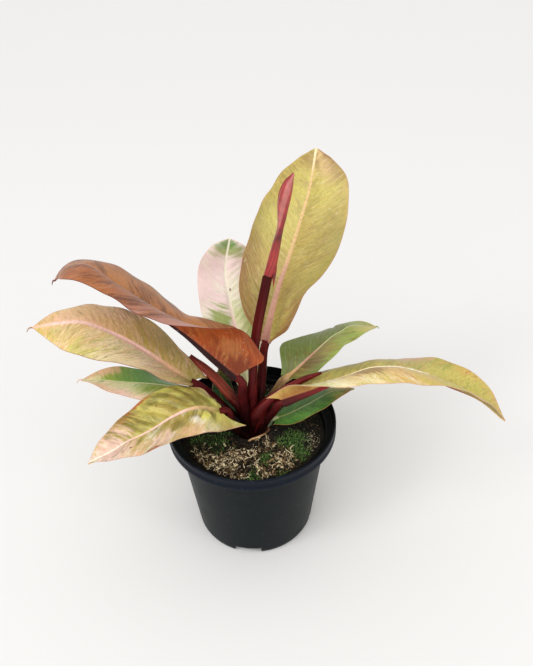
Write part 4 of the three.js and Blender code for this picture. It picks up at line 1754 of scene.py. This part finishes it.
@dataclass
class Studio:
    """The pale floor, the soft lights and the camera at the photograph's angle.

    Attributes:
        camera_at: The camera's place in millimetres.
        pitch: How far it looks down, in degrees.
        roll: How far it leans, in degrees.
        lens: Its focal length in millimetres.
        floor_reach: Half the floor's side in millimetres.
        lit: The point that the lights face, in metres.
        sky_colour: The colour of the light from all round.
        sky_strength: Its strength.
    """

    camera_at: Point = (15.0, -459.0, 550.0)
    pitch: float = 36.2
    roll: float = -1.5
    lens: float = 37.84
    floor_reach: float = 8000.0
    lit: Point = (0.0, 0.0, 0.18)
    sky_colour: Colour = (1.0, 0.99, 0.975, 1.0)
    sky_strength: float = 0.76

    def build(self) -> None:
        """Makes the floor, the lights, the sky and the camera."""
        self.floor()
        self.lights()
        self.camera()
        view = bpy.context.scene.view_settings
        view.view_transform = "Standard"
        view.look = "None"

    def floor(self) -> None:
        """Makes the floor."""
        reach = self.floor_reach * MM
        mesh = bpy.data.meshes.new("floor")
        corners = [(-reach, -reach, 0), (reach, -reach, 0), (reach, reach, 0), (-reach, reach, 0)]
        mesh.from_pydata(corners, [], [(0, 1, 2, 3)])
        mesh.materials.append(FloorFinish("pale_floor").material())
        floor = in_scene("floor", mesh)

    def lamp(self, kind: str, at: Point, strength: float, width: float) -> None:
        """Hangs a white light that faces the plant.

        Args:
            kind: "SUN" for light that reaches everything alike, or "AREA" for a square panel.
            at: Its place in metres, or the side that the sun shines from.
            strength: Its strength: watts for each square metre of a sun, or watts of a panel.
            width: The sun's width in degrees, or the panel's side in metres.
        """
        data = bpy.data.lights.new(f"{kind.lower()}_light", kind)
        data.energy = strength
        if kind == "SUN":
            data.angle = math.radians(width)
        else:
            data.size = width
        lamp = in_scene(data.name, data)
        lamp.location = at
        aim = Vector(self.lit) - Vector(at)
        lamp.rotation_euler = aim.to_track_quat("-Z", "Y").to_euler()

    def lights(self) -> None:
        """Hangs the lights and sets the sky."""
        self.lamp("SUN", (-0.8, -1.6, 2.1), 1.25, 60.0)
        self.lamp("AREA", (-0.9, -0.6, 1.2), 3.0, 0.4)
        self.lamp("AREA", (0.9, -0.7, 0.9), 1.5, 0.3)
        world = bpy.data.worlds.new("pale_sky")
        world.use_nodes = True
        sky = world.node_tree.nodes["Background"]
        sky.inputs["Color"].default_value = self.sky_colour
        sky.inputs["Strength"].default_value = self.sky_strength
        bpy.context.scene.world = world

    def camera(self) -> None:
        """Sets up the camera."""
        pitch, roll = math.radians(self.pitch), math.radians(self.roll)
        forward = Vector((0, math.cos(pitch), -math.sin(pitch)))
        level = Vector((1, 0, 0))
        above = Vector((0, math.sin(pitch), math.cos(pitch)))
        right = level * math.cos(roll) + above * math.sin(roll)
        up = above * math.cos(roll) - level * math.sin(roll)
        turn = Matrix((right, up, -forward)).transposed()
        data = bpy.data.cameras.new("camera")
        data.lens = self.lens
        data.clip_start = 0.01
        camera = in_scene("camera", data)
        camera.matrix_world = Matrix.Translation(Vector(self.camera_at) * MM) @ turn.to_4x4()
        bpy.context.scene.camera = camera


STALK = StalkFinish("maroon_stalk", hues("DARK_MAROON DARK_MAROON MAROON WINE"), Hue.WINE, 0.35)
LIGHT_STALK = StalkFinish("mauve_stalk", hues("DARK_MAROON DARK_MAROON MAROON WINE"), Hue.WINE, 0.35)
# The green stalk's painted shade fades out lower down.
GREEN_STALK = StalkFinish(
    "green_stalk", hues("MAROON GREY_GREEN PALE_LIME"), Hue.GREY_GREEN, painted_shade_to=(100.0, 116.0)
)
TAN_STALK = StalkFinish("tan_stalk", hues("DARK_MAROON MAROON BRONZE HONEY"), Hue.MAUVE, 0.4)
PLAIN_UNDER = tones("BRONZE OLIVE BRONZE", "MOSS_BROWN BRONZE BROWN_ORANGE")


def tall_leaf() -> Leaf:
    """The tall leaf behind the new one."""
    finish = LeafFinish(
        "tall_leaf_skin",
        left=tones("OLIVE OLIVE OLIVE_GOLD YELLOW_GREEN YELLOW_GREEN OLIVE_GOLD",
                   "BRONZE BRONZE BRONZE OLIVE OLIVE_GOLD OLIVE_GOLD"),
        right=tones("YELLOW_GREEN OLIVE_GOLD OLIVE_GOLD OLIVE_GOLD YELLOW_GREEN HONEY",
                    "BROWN_ORANGE BRONZE OLIVE OLIVE OLIVE_GOLD BRONZE"),
        under=PLAIN_UNDER,
        rib=hues("MAUVE DUSTY_PINK DUSTY_PINK HONEY HONEY HONEY CREAM"),
        rib_under=hues("WINE MAUVE CREAM"), rib_width=(5.4, 1.1),
        marks=(
            Streaks(Hue.BRONZE, 0.45, 10, 2, 0.5, drawn=2.2),
            Streaks(Hue.BRIGHT_LIME, 0.35, 5, 9, 0.25, reach=(0, 0.8), drawn=3),
            Streaks(Hue.OLIVE, 0.5, 3.4, 13, 0.5, drawn=2.6),
            Streaks(Hue.CREAM, 0.25, 2.4, 31, 0.28, drawn=8),
            Patch(Hue.BRONZE, (0.12, 0.6), (0.2, 0.5), 0.45),
            Patch(Hue.YELLOW_GREEN, (0.62, 0.5), (0.2, 0.35), 0.5),
            Patch(Hue.BRONZE, (0.95, 0.3), (0.08, 0.6), 0.45),
            Patch(Hue.DUSTY_PINK, (0.9, -0.5), (0.06, 0.4), 0.25),
        ),
        vein=Hue.CREAM, vein_strength=0.3, margin=Hue.MAUVE,
    )
    return Leaf(
        "tall_leaf", 60,
        stalk=[(3, -1, 112), (7, 4, 135), (10, 14, 158)],
        midrib=[(14, 24, 186), (26, 42, 227), (35, 54, 250), (46, 70, 279), (54, 84, 300),
                (60.5, 103, 328.5)],
        half_widths=(6, 28, 39, 43, 42, 41, 38, 31, 8),
        rise_left=(15, 10, 5, 5, 5, 0, 0), rise_right=(40, 45, 45, 25, 15, 15, 10),
        curl_left=(-20, -20, -15, -10, -10, -15, -15), curl_right=(-40, -20, -20, -30, -30, -20, -10),
        lobes=(0, -2), finish=finish, stalk_finish=LIGHT_STALK,
    )


def pink_leaf() -> Leaf:
    """The pale pink leaf behind the tall one."""
    finish = LeafFinish(
        "pink_leaf_skin",
        left=tones("LIME PALE_LIME PALE_LIME ROSE ROSE ROSE ROSE",
                   "LIME LIME PALE_CREAM PALE_CREAM ROSE ROSE PALE_CREAM"),
        right=tones("LIME PALE_LIME CREAM PALE_LIME PALE_CREAM ROSE ROSE",
                    "LIME PALE_LIME LIME PALE_LIME PALE_CREAM ROSE ROSE"),
        under=tones("PALE_LIME BLUSH ROSE", "LIME BLUSH BLUSH"),
        rib=hues("PALE_LIME BLUSH PALE_CREAM PALE_CREAM"),
        rib_under=hues("PALE_LIME PALE_CREAM"), rib_width=(3.6, 1),
        marks=(
            Streaks(Hue.PALE_CREAM, 0.45, 6, 1, 0.7),
            Streaks(Hue.PALE_LIME, 0.3, 5, 6, 0.5, Side.RIGHT),
            Patch(Hue.LIME, (0.44, 0.45), (0.16, 0.42), 0.9, 0.9),
            Patch(Hue.LEAF_GREEN, (0.4, 0.42), (0.07, 0.28), 0.55, 0.9),
            Patch(Hue.LEAF_GREEN, (0.36, -0.6), (0.08, 0.2), 0.4, 0.9),
            Patch(Hue.LIME, (0.92, -0.1), (0.06, 0.9), 0.8),
            Patch(Hue.LEAF_GREEN, (0.97, 0.1), (0.05, 1), 0.8, 0.3),
            Patch(Hue.LIME, (0.4, -0.5), (0.2, 0.3), 0.6),
            Patch(Hue.UMBER, (0.655, -0.09), (0.012, 0.035), 0.9, 0.1),
        ),
        vein=Hue.PALE_CREAM, margin=Hue.BLUSH, mottling=0.35,
    )
    return Leaf(
        "pink_leaf", 110,
        stalk=[(0, -2, 110), (1, 4, 121), (0, 11, 130)],
        midrib=[(-2, 18, 139), (-7, 35, 157), (-13, 53, 182), (-18, 67, 205), (-20.5, 77, 228),
                (-15, 82, 257)],
        half_widths=(8, 16, 23, 27, 29, 29, 27, 24, 12),
        rise_left=(30, 27, 25, 20, 18, 15, 12), rise_right=(25, 20, 15, 12, 12, 12, 10),
        curl_left=(-10,), curl_right=(-10,), lobes=(4, 4), finish=finish, stalk_finish=STALK,
    )


def orange_leaf() -> Leaf:
    """The orange leaf, rolled over so that its lower face shows."""
    finish = LeafFinish(
        "orange_leaf_skin",
        left=tones("CHESTNUT CHESTNUT CHESTNUT CHESTNUT CHESTNUT BROWN_ORANGE",
                   "CHESTNUT MAUVE MAUVE MAUVE CHESTNUT CHESTNUT MARGIN_RED"),
        right=tones("CHESTNUT RUSSET RUSSET RUSSET CHESTNUT", "CHESTNUT RUSSET BROWN_ORANGE CHESTNUT UMBER"),
        under=tones("DEEP_RUST RUST RUST CHESTNUT CHESTNUT", "RUST RUST CHESTNUT MAUVE CHESTNUT"),
        rib=hues("MAUVE MAUVE DUSTY_PINK"),
        rib_under=hues("DARK_MAROON DARK_MAROON MAROON WINE MAUVE"), rib_width=(2.4, 0.8),
        marks=(
            Streaks(Hue.UMBER, 0.6, 5, 7, 0.85, drawn=10),
            Streaks(Hue.MAUVE, 0.35, 5, 4, 0.3, Side.LEFT),
            Streaks(Hue.RUSSET, 0.4, 4, 11, 0.6),
            Streaks(Hue.PEACH, 0.2, 3, 17, 0.35),
        ),
        marks_under=(
            Streaks(Hue.DEEP_RUST, 0.5, 5, 2, 0.8, drawn=3),
            Streaks(Hue.RUSSET, 0.35, 3.5, 12, 0.6, drawn=4),
            Patch(Hue.DEEP_RUST, (0.1, 0.95), (0.12, 0.2), 0.6),
            Patch(Hue.RUSSET, (0.12, 0.5), (0.07, 0.3), 0.5),
        ),
        vein=Hue.MAUVE, vein_strength=0.12, margin=Hue.WINE, roughness=0.36,
    )
    return Leaf(
        "orange_leaf", 168,
        stalk=[(-2, -6, 112), (-5, -9, 133), (-7, -10, 157)],
        midrib=[(-11, -9, 176), (-30, -4, 194), (-51, 2, 215), (-78, 10, 235), (-103, 17, 253),
                (-125, 22, 270),
                (-143, 26, 266), (-157, 28, 252)],
        half_widths=(32, 40, 41, 41, 40, 38, 32, 20, 1),
        rise_left=(95, 95, 70, 57, 48, 22, 0), rise_right=(45, 20, 0, -5, -8, -15, 15),
        curl_left=(5, -17, -52, -62, -52, -44, -30), curl_right=(-20, -30, -40, -25, -20, -20, 5),
        lobes=(10, 0), finish=finish, stalk_finish=STALK, rounding=8, thread=3,
    )


def left_leaf() -> Leaf:
    """The golden leaf to the left."""
    finish = LeafFinish(
        "left_leaf_skin",
        left=tones("OLIVE HONEY CREAM CREAM HONEY HONEY GOLD",
                   "BRONZE HONEY CREAM CREAM YELLOW_GREEN GOLD GOLD"),
        right=tones("OLIVE OLIVE_GOLD OLIVE_GOLD HONEY HONEY PEACH GOLD",
                    "OLIVE OLIVE OLIVE_GOLD BRONZE HONEY HONEY HONEY"),
        under=PLAIN_UNDER,
        rib=hues("OLIVE PEACH BLUSH BLUSH BLUSH BLUSH PEACH"),
        rib_under=hues("WINE MAUVE CREAM"), rib_width=(4.8, 1.6),
        marks=(
            Streaks(Hue.BRIGHT_LIME, 0.5, 5, 3, 0.6, Side.LEFT, drawn=4),
            Streaks(Hue.PEACH, 0.4, 5, 8, 0.6),
            Streaks(Hue.DARK_OLIVE, 0.4, 3.2, 5, 0.5),
            Streaks(Hue.LIME, 0.45, 3, 21, 0.6, Side.LEFT, (0.15, 0.85), 4),
            Streaks(Hue.BLUSH, 0.35, 2.6, 12, 0.65),
            Streaks(Hue.BROWN_ORANGE, 0.35, 2.8, 27, 0.4),
            Streaks(Hue.CREAM, 0.3, 3.4, 45, 0.6, drawn=4),
            Patch(Hue.PEACH, (0.72, -0.1), (0.2, 0.14), 0.8),
            Patch(Hue.OLIVE, (0.3, -0.6), (0.16, 0.4), 0.4),
        ),
        vein=Hue.CREAM, margin=Hue.MARGIN_RED,
    )
    return Leaf(
        "left_leaf", 172,
        stalk=[(-3, -7, 108), (-11, -8, 122), (-27, -5, 143)],
        midrib=[(-49, 3, 161), (-64, 5, 172), (-84, 8, 189), (-102, 10, 203), (-122, 13, 214),
                (-136, 15, 219),
                (-153, 17, 218), (-183, 22, 210)],
        half_widths=(10, 24, 33, 34, 35, 33, 27, 16, 1),
        rise_left=(25, 22, 20, 5, -10, -30, -35), rise_right=(35, 15, 15, 10, 5, 10, 25),
        curl_left=(-15, -5, -5, -10, -15, -25, -30), curl_right=(-10, -20, -15, -15, -20, -15, -5),
        lobes=(-3, 10), finish=finish, stalk_finish=LIGHT_STALK, thread=5,
    )


def left_low_leaf() -> Leaf:
    """The small green leaf under the left one."""
    finish = LeafFinish(
        "left_low_leaf_skin",
        left=tones("OLIVE LIME LIME PALE_LIME CREAM CREAM", "LIME PALE_LIME CREAM BLUSH PEACH CREAM"),
        right=tones("DEEP_GREEN LEAF_GREEN LEAF_GREEN LEAF_GREEN LIME PEACH",
                    "DEEP_GREEN DEEP_GREEN DEEP_GREEN LEAF_GREEN LIME PEACH"),
        under=tones("LEAF_GREEN LIME", "DEEP_GREEN BLUSH"),
        rib=hues("LIME PALE_LIME PALE_LIME"),
        rib_under=hues("LIME PALE_LIME"), rib_width=(1.6, 0.5),
        marks=(
            Streaks(Hue.LEAF_GREEN, 0.4, 4, 2, 0.8, Side.LEFT, (0, 0.6)),
            Streaks(Hue.CREAM, 0.4, 5, 6, 0.7, Side.LEFT),
            Streaks(Hue.LIME, 0.3, 4, 4, 0.5, Side.RIGHT),
            Patch(Hue.PEACH, (0.84, -0.75), (0.12, 0.5), 0.9),
            Patch(Hue.CREAM, (0.9, -0.2), (0.08, 0.3), 0.6),
        ),
        vein=Hue.LIME, margin=Hue.DUSTY_PINK,
    )
    return Leaf(
        "left_low_leaf", 172,
        stalk=[(-5, -5, 107), (-13, -4, 113), (-26, -2, 130)],
        midrib=[(-39, 1, 148), (-57, 4, 154), (-79, 7, 157), (-114, 12, 157), (-132, 15, 157),
                (-149, 17, 156)],
        half_widths=(5, 14, 20, 21, 21, 20, 17, 11, 1),
        rise_left=(15, 5, 0, 10, 15, 20, 25), rise_right=(-20, -25, -20, -5, 5, 15, 15),
        curl_left=(-20, -25, -30, -20, -15, -5, 0), curl_right=(-30, -30, -25, -15, -5, -5, -5),
        lobes=(4, 4), finish=finish, stalk_finish=STALK, thread=5,
    )


def front_leaf() -> Leaf:
    """The yellow-olive leaf that hangs over the pot's rim."""
    finish = LeafFinish(
        "front_leaf_skin",
        left=tones("YELLOW_GREEN YELLOW_GREEN OLIVE_GOLD OLIVE_GOLD HONEY BLUSH CREAM",
                   "OLIVE_GOLD CREAM HONEY OLIVE_GOLD PEACH BLUSH PALE_CREAM"),
        right=tones("OLIVE OLIVE OLIVE_GOLD YELLOW_GREEN OLIVE_GOLD HONEY BLUSH",
                    "OLIVE OLIVE OLIVE YELLOW_GREEN BROWN_ORANGE HONEY BLUSH"),
        under=PLAIN_UNDER,
        rib=hues("OLIVE HONEY BLUSH BLUSH BLUSH PALE_CREAM PALE_CREAM"),
        rib_under=hues("MAROON MAUVE CREAM"), rib_width=(2.4, 0.8),
        marks=(
            Streaks(Hue.BRIGHT_LIME, 0.45, 4.5, 9, 0.75, drawn=4),
            Streaks(Hue.DARK_OLIVE, 0.55, 5.5, 2, 0.85, drawn=4),
            Streaks(Hue.LIME, 0.35, 4, 3, 0.6, drawn=3),
            Streaks(Hue.PALE_CREAM, 0.35, 5, 15, 0.7, Side.LEFT, drawn=3),
            # Painted shade: dark olive in the hollow beside the blister near the base.
            Patch(Hue.DARK_OLIVE, (0.09, 0.25), (0.05, 0.3), 0.7),
            Patch(Hue.DARK_OLIVE, (0.36, 0.5), (0.08, 0.22), 0.6),
            Patch(Hue.DARK_OLIVE, (0.42, -0.75), (0.16, 0.16), 0.6),
            Patch(Hue.DARK_OLIVE, (0.2, -0.45), (0.14, 0.25), 0.6, 0.9),
            Patch(Hue.DARK_OLIVE, (0.62, -0.35), (0.08, 0.3), 0.5, 0.9),
            # Painted highlight: pale cream beside the blister.
            Patch(Hue.PALE_CREAM, (0.23, 0.5), (0.05, 0.25), 0.8),
            Patch(Hue.RUST, (0.55, -0.97), (0.14, 0.1), 0.8),
            Patch(Hue.PEACH, (0.28, 0.85), (0.12, 0.3), 0.6),
            # Painted highlight: bright lime on top of the blister.
            Patch(Hue.BRIGHT_LIME, (0.16, 0.4), (0.045, 0.3), 0.9),
            Patch(Hue.BLUSH, (0.88, 0), (0.2, 1), 0.8, 0.8),
            Patch(Hue.BLUSH, (0.5, 0.75), (0.12, 0.3), 0.6, 0.8),
            Patch(Hue.MARGIN_RED, (0.56, 0.97), (0.06, 0.06), 0.8),
            Patch(Hue.UMBER, (0.7, 0.55), (0.012, 0.05), 0.9, 0.1),
            Patch(Hue.UMBER, (0.43, -0.55), (0.01, 0.04), 0.8, 0.1),
        ),
        vein=Hue.CREAM, margin=Hue.DUSTY_PINK,
    )
    return Leaf(
        "front_leaf", 203,
        stalk=[(-3, -10, 108), (-9, -15, 118), (-17, -19, 133)],
        midrib=[(-24, -20.5, 149.5), (-45, -29, 161), (-62, -36, 159), (-75, -42, 154), (-87, -47, 150),
                (-100, -52, 147), (-113, -58, 142), (-131, -66, 138)],
        half_widths=(11, 22, 28, 31, 31, 30, 23, 15, 1),
        rise_left=(-32, -10, 8, 20, 22, 28, 38), rise_right=(30, 13, 18, 18, 13, 16, 24),
        curl_left=(-18, -13, -10, -8, -13, -12, -10), curl_right=(10, -10, -12, -10, -15, -12, -8),
        lobes=(24, -13), finish=finish, stalk_finish=STALK, slender=0.8, quilt=0.7, quilt_pitch=11,
        blisters=((0.15, 0.4, 6, 3.4), (0.22, 0.25, 4, -2), (0.1, 0.1, 4, -1.6), (0.45, 0.4, 9, 1.6)),
    )


def back_right_leaf() -> Leaf:
    """The green leaf at the back right."""
    finish = LeafFinish(
        "back_right_leaf_skin",
        left=tones("FERN FERN FERN FERN LIME YELLOW_GREEN", "FERN FERN FERN FERN LIME YELLOW_GREEN"),
        right=tones("BRONZE MOSS_BROWN OLIVE LIME YELLOW_GREEN GOLD",
                    "FERN FERN LIME LIME YELLOW_GREEN GOLD"),
        under=tones("LEAF_GREEN LIME", "LEAF_GREEN OLIVE"),
        rib=hues("HONEY DUSTY_PINK PALE_LIME PALE_LIME LIME"),
        rib_under=hues("WINE MAUVE PALE_LIME"), rib_width=(2.2, 0.5),
        marks=(
            Streaks(Hue.MOSS_BROWN, 0.5, 5, 5, 0.6, Side.LEFT, drawn=2.5),
            Streaks(Hue.LIME, 0.35, 4, 2, 0.45, Side.LEFT, drawn=3),
            # Painted sheen: grey-green streaks for the left half's greyish highlights.
            Streaks(Hue.GREY_GREEN, 0.35, 3, 7, 0.4, Side.LEFT, drawn=3),
            Streaks(Hue.MOSS_BROWN, 0.4, 4, 3, 0.6, Side.RIGHT, drawn=3),
            Streaks(Hue.YELLOW_GREEN, 0.3, 4, 9, 0.5, Side.RIGHT),
        ),
        vein=Hue.PALE_LIME, margin=Hue.LIME,
    )
    return Leaf(
        "back_right_leaf", 28,
        stalk=[(3, 0, 110), (12, 8, 126), (24, 16, 141)],
        midrib=[(33, 22, 149), (42, 26, 155), (60, 36, 168), (74, 44, 177), (82, 47, 180), (90, 52, 182),
                (117, 66, 170)],
        half_widths=(5, 25, 28, 27, 26, 24, 20, 12, 1),
        rise_left=(52, 27, 3, -14, -20, -10, 10), rise_right=(20, 22, 22, 22, 20, 22, 28),
        curl_left=(2, -8, -17, -22, -23, -14, 2), curl_right=(-5, -6, -8, -9, -12, -10, -6),
        lobes=(4, 0), finish=finish, stalk_finish=TAN_STALK, thread=3,
    )


def long_leaf() -> Leaf:
    """The long leaf to the right, folded up at its base."""
    finish = LeafFinish(
        "long_leaf_skin",
        left=tones("OLIVE OLIVE_GOLD OLIVE OLIVE_GOLD YELLOW_GREEN YELLOW_GREEN GOLD",
                   "BRONZE OLIVE BRONZE DUSTY_PINK OLIVE_GOLD GOLD DUSTY_PINK"),
        right=tones("CREAM CREAM GOLD HONEY YELLOW_GREEN GOLD PEACH",
                    "CREAM PALE_LIME CREAM GOLD YELLOW_GREEN GOLD PEACH"),
        under=tones("BROWN_ORANGE GOLD OLIVE OLIVE", "GOLD BROWN_ORANGE OLIVE_GOLD"),
        rib=hues("CREAM HONEY CREAM PALE_CREAM PALE_CREAM CREAM HONEY"),
        rib_under=hues("MAROON RED MARGIN_RED HONEY"), rib_width=(3.2, 0.9),
        marks=(
            Streaks(Hue.LIME, 0.45, 4, 2, 0.6, Side.LEFT, drawn=4),
            Streaks(Hue.BROWN_ORANGE, 0.4, 4.5, 6, 0.55, drawn=3.5),
            Streaks(Hue.YELLOW_GREEN, 0.5, 4, 9, 0.8, drawn=3),
            Streaks(Hue.PALE_CREAM, 0.3, 3, 16, 0.6, Side.RIGHT),
            Streaks(Hue.OLIVE, 0.35, 3, 24, 0.45, drawn=4),
            Patch(Hue.BRONZE, (0.36, -0.35), (0.07, 0.3), 0.75),
            Patch(Hue.PALE_CREAM, (0.57, -0.02), (0.13, 0.12), 0.95, 0.3),
            Patch(Hue.DUSTY_PINK, (0.5, 0.9), (0.14, 0.2), 0.5),
        ),
        marks_under=(Streaks(Hue.BROWN_ORANGE, 0.4, 5, 4, 0.5),),
        vein=Hue.CREAM, margin=Hue.DUSTY_PINK,
    )
    return Leaf(
        "long_leaf", -2,
        stalk=[(4, -7, 108), (12, -9, 126), (21, -11, 141)],
        midrib=[(28, -11, 149), (50, -12, 161), (67, -12, 170), (83, -13, 178), (99, -13, 185),
                (114, -14, 187),
                (124, -14, 186), (144, -15, 179), (167, -16, 167), (194, -17, 152), (220, -18, 127)],
        half_widths=(9, 22, 28, 30, 30, 29, 24, 15, 1),
        rise_left=(15, 8, -4, -5, 16, 29, 32), rise_right=(100, 66, 45, 41, 49, 40, 31),
        curl_left=(-28, -37, -44, -39, -17, -5, -3), curl_right=(5, -42, -58, -53, -34, -25, -15),
        lobes=(6, 12), finish=finish, stalk_finish=STALK,
    )


def right_low_leaf() -> Leaf:
    """The green leaf low on the right."""
    finish = LeafFinish(
        "right_low_leaf_skin",
        left=tones("LEAF_GREEN LEAF_GREEN LEAF_GREEN LEAF_GREEN YELLOW_GREEN BROWN_ORANGE",
                   "DEEP_GREEN DEEP_GREEN DEEP_GREEN LEAF_GREEN YELLOW_GREEN BROWN_ORANGE"),
        right=tones("LEAF_GREEN LEAF_GREEN LEAF_GREEN LEAF_GREEN LIME BROWN_ORANGE",
                    "DEEP_GREEN DEEP_GREEN LEAF_GREEN DEEP_GREEN OLIVE BROWN_ORANGE"),
        under=tones("LEAF_GREEN LIME", "DEEP_GREEN OLIVE"),
        rib=hues("LIME PALE_LIME LIME"),
        rib_under=hues("LIME LIME"), rib_width=(1.3, 0.5),
        marks=(Streaks(Hue.DEEP_GREEN, 0.6, 6, 4, 0.75),),
        vein=Hue.LIME, vein_strength=0.3, vein_pitch=3.4, margin=Hue.BROWN_ORANGE,
        margin_width=0.5, roughness=0.52,
    )
    return Leaf(
        "right_low_leaf", 8,
        stalk=[(4, -4, 106), (11, -3, 112), (16, -2, 117)],
        midrib=[(21, -1, 121), (34, 1, 125), (51, 3, 134), (70, 6, 144), (91, 9, 145)],
        half_widths=(7, 14, 17, 19, 19, 19, 16, 9, 1),
        rise_left=(-5, -10, -15, -20, -25, -25), rise_right=(5, 10, 15, 15, 20, 25),
        curl_left=(-10,), curl_right=(-10,), lobes=(-3, 4), finish=finish, stalk_finish=GREEN_STALK,
        slender=0.6, wave=0.3,
    )


def small_back_leaf() -> Leaf:
    """The small dark leaf at the back."""
    green = tones("BOTTLE_GREEN BOTTLE_GREEN OLIVE", "BOTTLE_GREEN BOTTLE_GREEN BRONZE")
    finish = LeafFinish(
        "small_back_leaf_skin", left=green, right=green, under=green,
        rib=hues("LIME LIME"), rib_under=hues("LIME LIME"), rib_width=(0.9, 0.4),
        # The grey-green streaks are painted sheen, standing for the leaf's greyish highlights.
        marks=(Streaks(Hue.DEEP_GREEN, 0.4, 3, 4, 0.6), Streaks(Hue.GREY_GREEN, 0.35, 3, 9, 0.5)),
        vein=Hue.LEAF_GREEN, vein_pitch=3, margin=Hue.MAUVE,
    )
    return Leaf(
        "small_back_leaf", 140,
        stalk=[(-2, -1, 106), (-9, 2, 112), (-14, 5, 117)],
        midrib=[(-18, 8, 121), (-25, 13.5, 129), (-29, 18, 144), (-26, 24, 163)],
        half_widths=(5, 10, 13, 13, 12, 9, 1),
        rise_left=(25,), rise_right=(25,), curl_left=(-10,), curl_right=(-10,), lobes=(2, 2),
        finish=finish, stalk_finish=STALK, slender=0.7, wave=0.2,
    )


def scales() -> list[Scale]:
    """The rolled new leaf, its sheath and the two bud scales."""
    return [
        Scale("leaf_sheath", "new_leaf_sheath", "petiole",
              [(1, -4, 112), (1, -2, 142), (3, 1, 180), (7, 6, 211), (17, 17, 257)],
              (5, 4.5, 3.9, 4, 3.9), Section.GROOVED,
              StalkFinish("sheath_skin", hues("MAROON WINE WINE MAROON"), Hue.DARK_MAROON, 0.8),
              extras=(
                  (((14.4, 16, 253), (14.8, 17, 257), (15.6, 18.5, 261.5)), (1.2, 1.3, 0.2)),
                  (((18.5, 14.5, 252), (19.4, 15.5, 256), (20.4, 17, 260.5)), (1.2, 1.2, 0.2)),
              )),
        Scale("rolled_leaf", "new_leaf", "new_leaf",
              [(17.4, 17.4, 258.2), (19.6, 19, 264), (22.9, 22, 276.5), (28.1, 26, 298), (30.5, 30, 314),
               (34.2, 33, 327.7), (38.5, 35, 336.5)],
              (3.6, 4, 3.8, 3.4, 2.8, 2.8, 3.8, 4.6, 4.8, 3.6, 0.7), Section.ROLLED,
              # The coral band is a painted highlight on the side turned to the camera.
              StalkFinish("new_leaf_skin", hues("CRIMSON RED WINE CRIMSON RED CRIMSON"),
                          Hue.WINE, 0.7, 0.24, 0.5, 0.2, (Hue.CORAL_HIGHLIGHT, -1.25, 0.8)), turn=2.6,
              extras=((((21.4, 14.6, 249), (22.0, 16, 256), (22.6, 18, 264), (23.2, 20.5, 273)),
                       (0.3, 1.3, 2.0, 1.0)),)),
        Scale("bud_scale_right", "right_cataphyll", "cataphyll",
              [(2, -7, 117), (7, -7, 136), (20, -5, 150), (43, -3, 165), (60, -5, 175)],
              (8, 7.6, 5, 3.6, 3.2, 2.8, 1.4), Section.KEELED,
              StalkFinish("right_scale_skin", hues("DARK_MAROON WINE WINE WINE WINE"), Hue.RED, 0.45)),
        Scale("bud_scale_left", "left_cataphyll", "cataphyll",
              [(-4, -3, 118), (-8, -1, 134), (-16, 2, 143), (-30, 7, 162), (-51, 15, 181)],
              (6, 5.6, 5.2, 5, 4.6, 3.8, 2), Section.KEELED,
              StalkFinish("left_scale_skin", hues("DARK_MAROON WINE MARGIN_RED MARGIN_RED WINE"),
                          Hue.MAROON, 0.6)),
    ]


def main() -> None:
    """Builds the studio and the plant, piece by piece."""
    logging.basicConfig(level=logging.INFO, format="%(name)s: %(message)s")
    Studio().build()
    Pot().build()
    PottingMix().build()
    Crown().build()
    leaves = (
        tall_leaf, pink_leaf, orange_leaf, left_leaf, left_low_leaf,
        front_leaf, back_right_leaf, long_leaf, right_low_leaf, small_back_leaf,
    )
    for make_leaf in leaves:
        make_leaf().build()
    for scale in scales():
        scale.build()


if __name__ == "__main__":
    main()
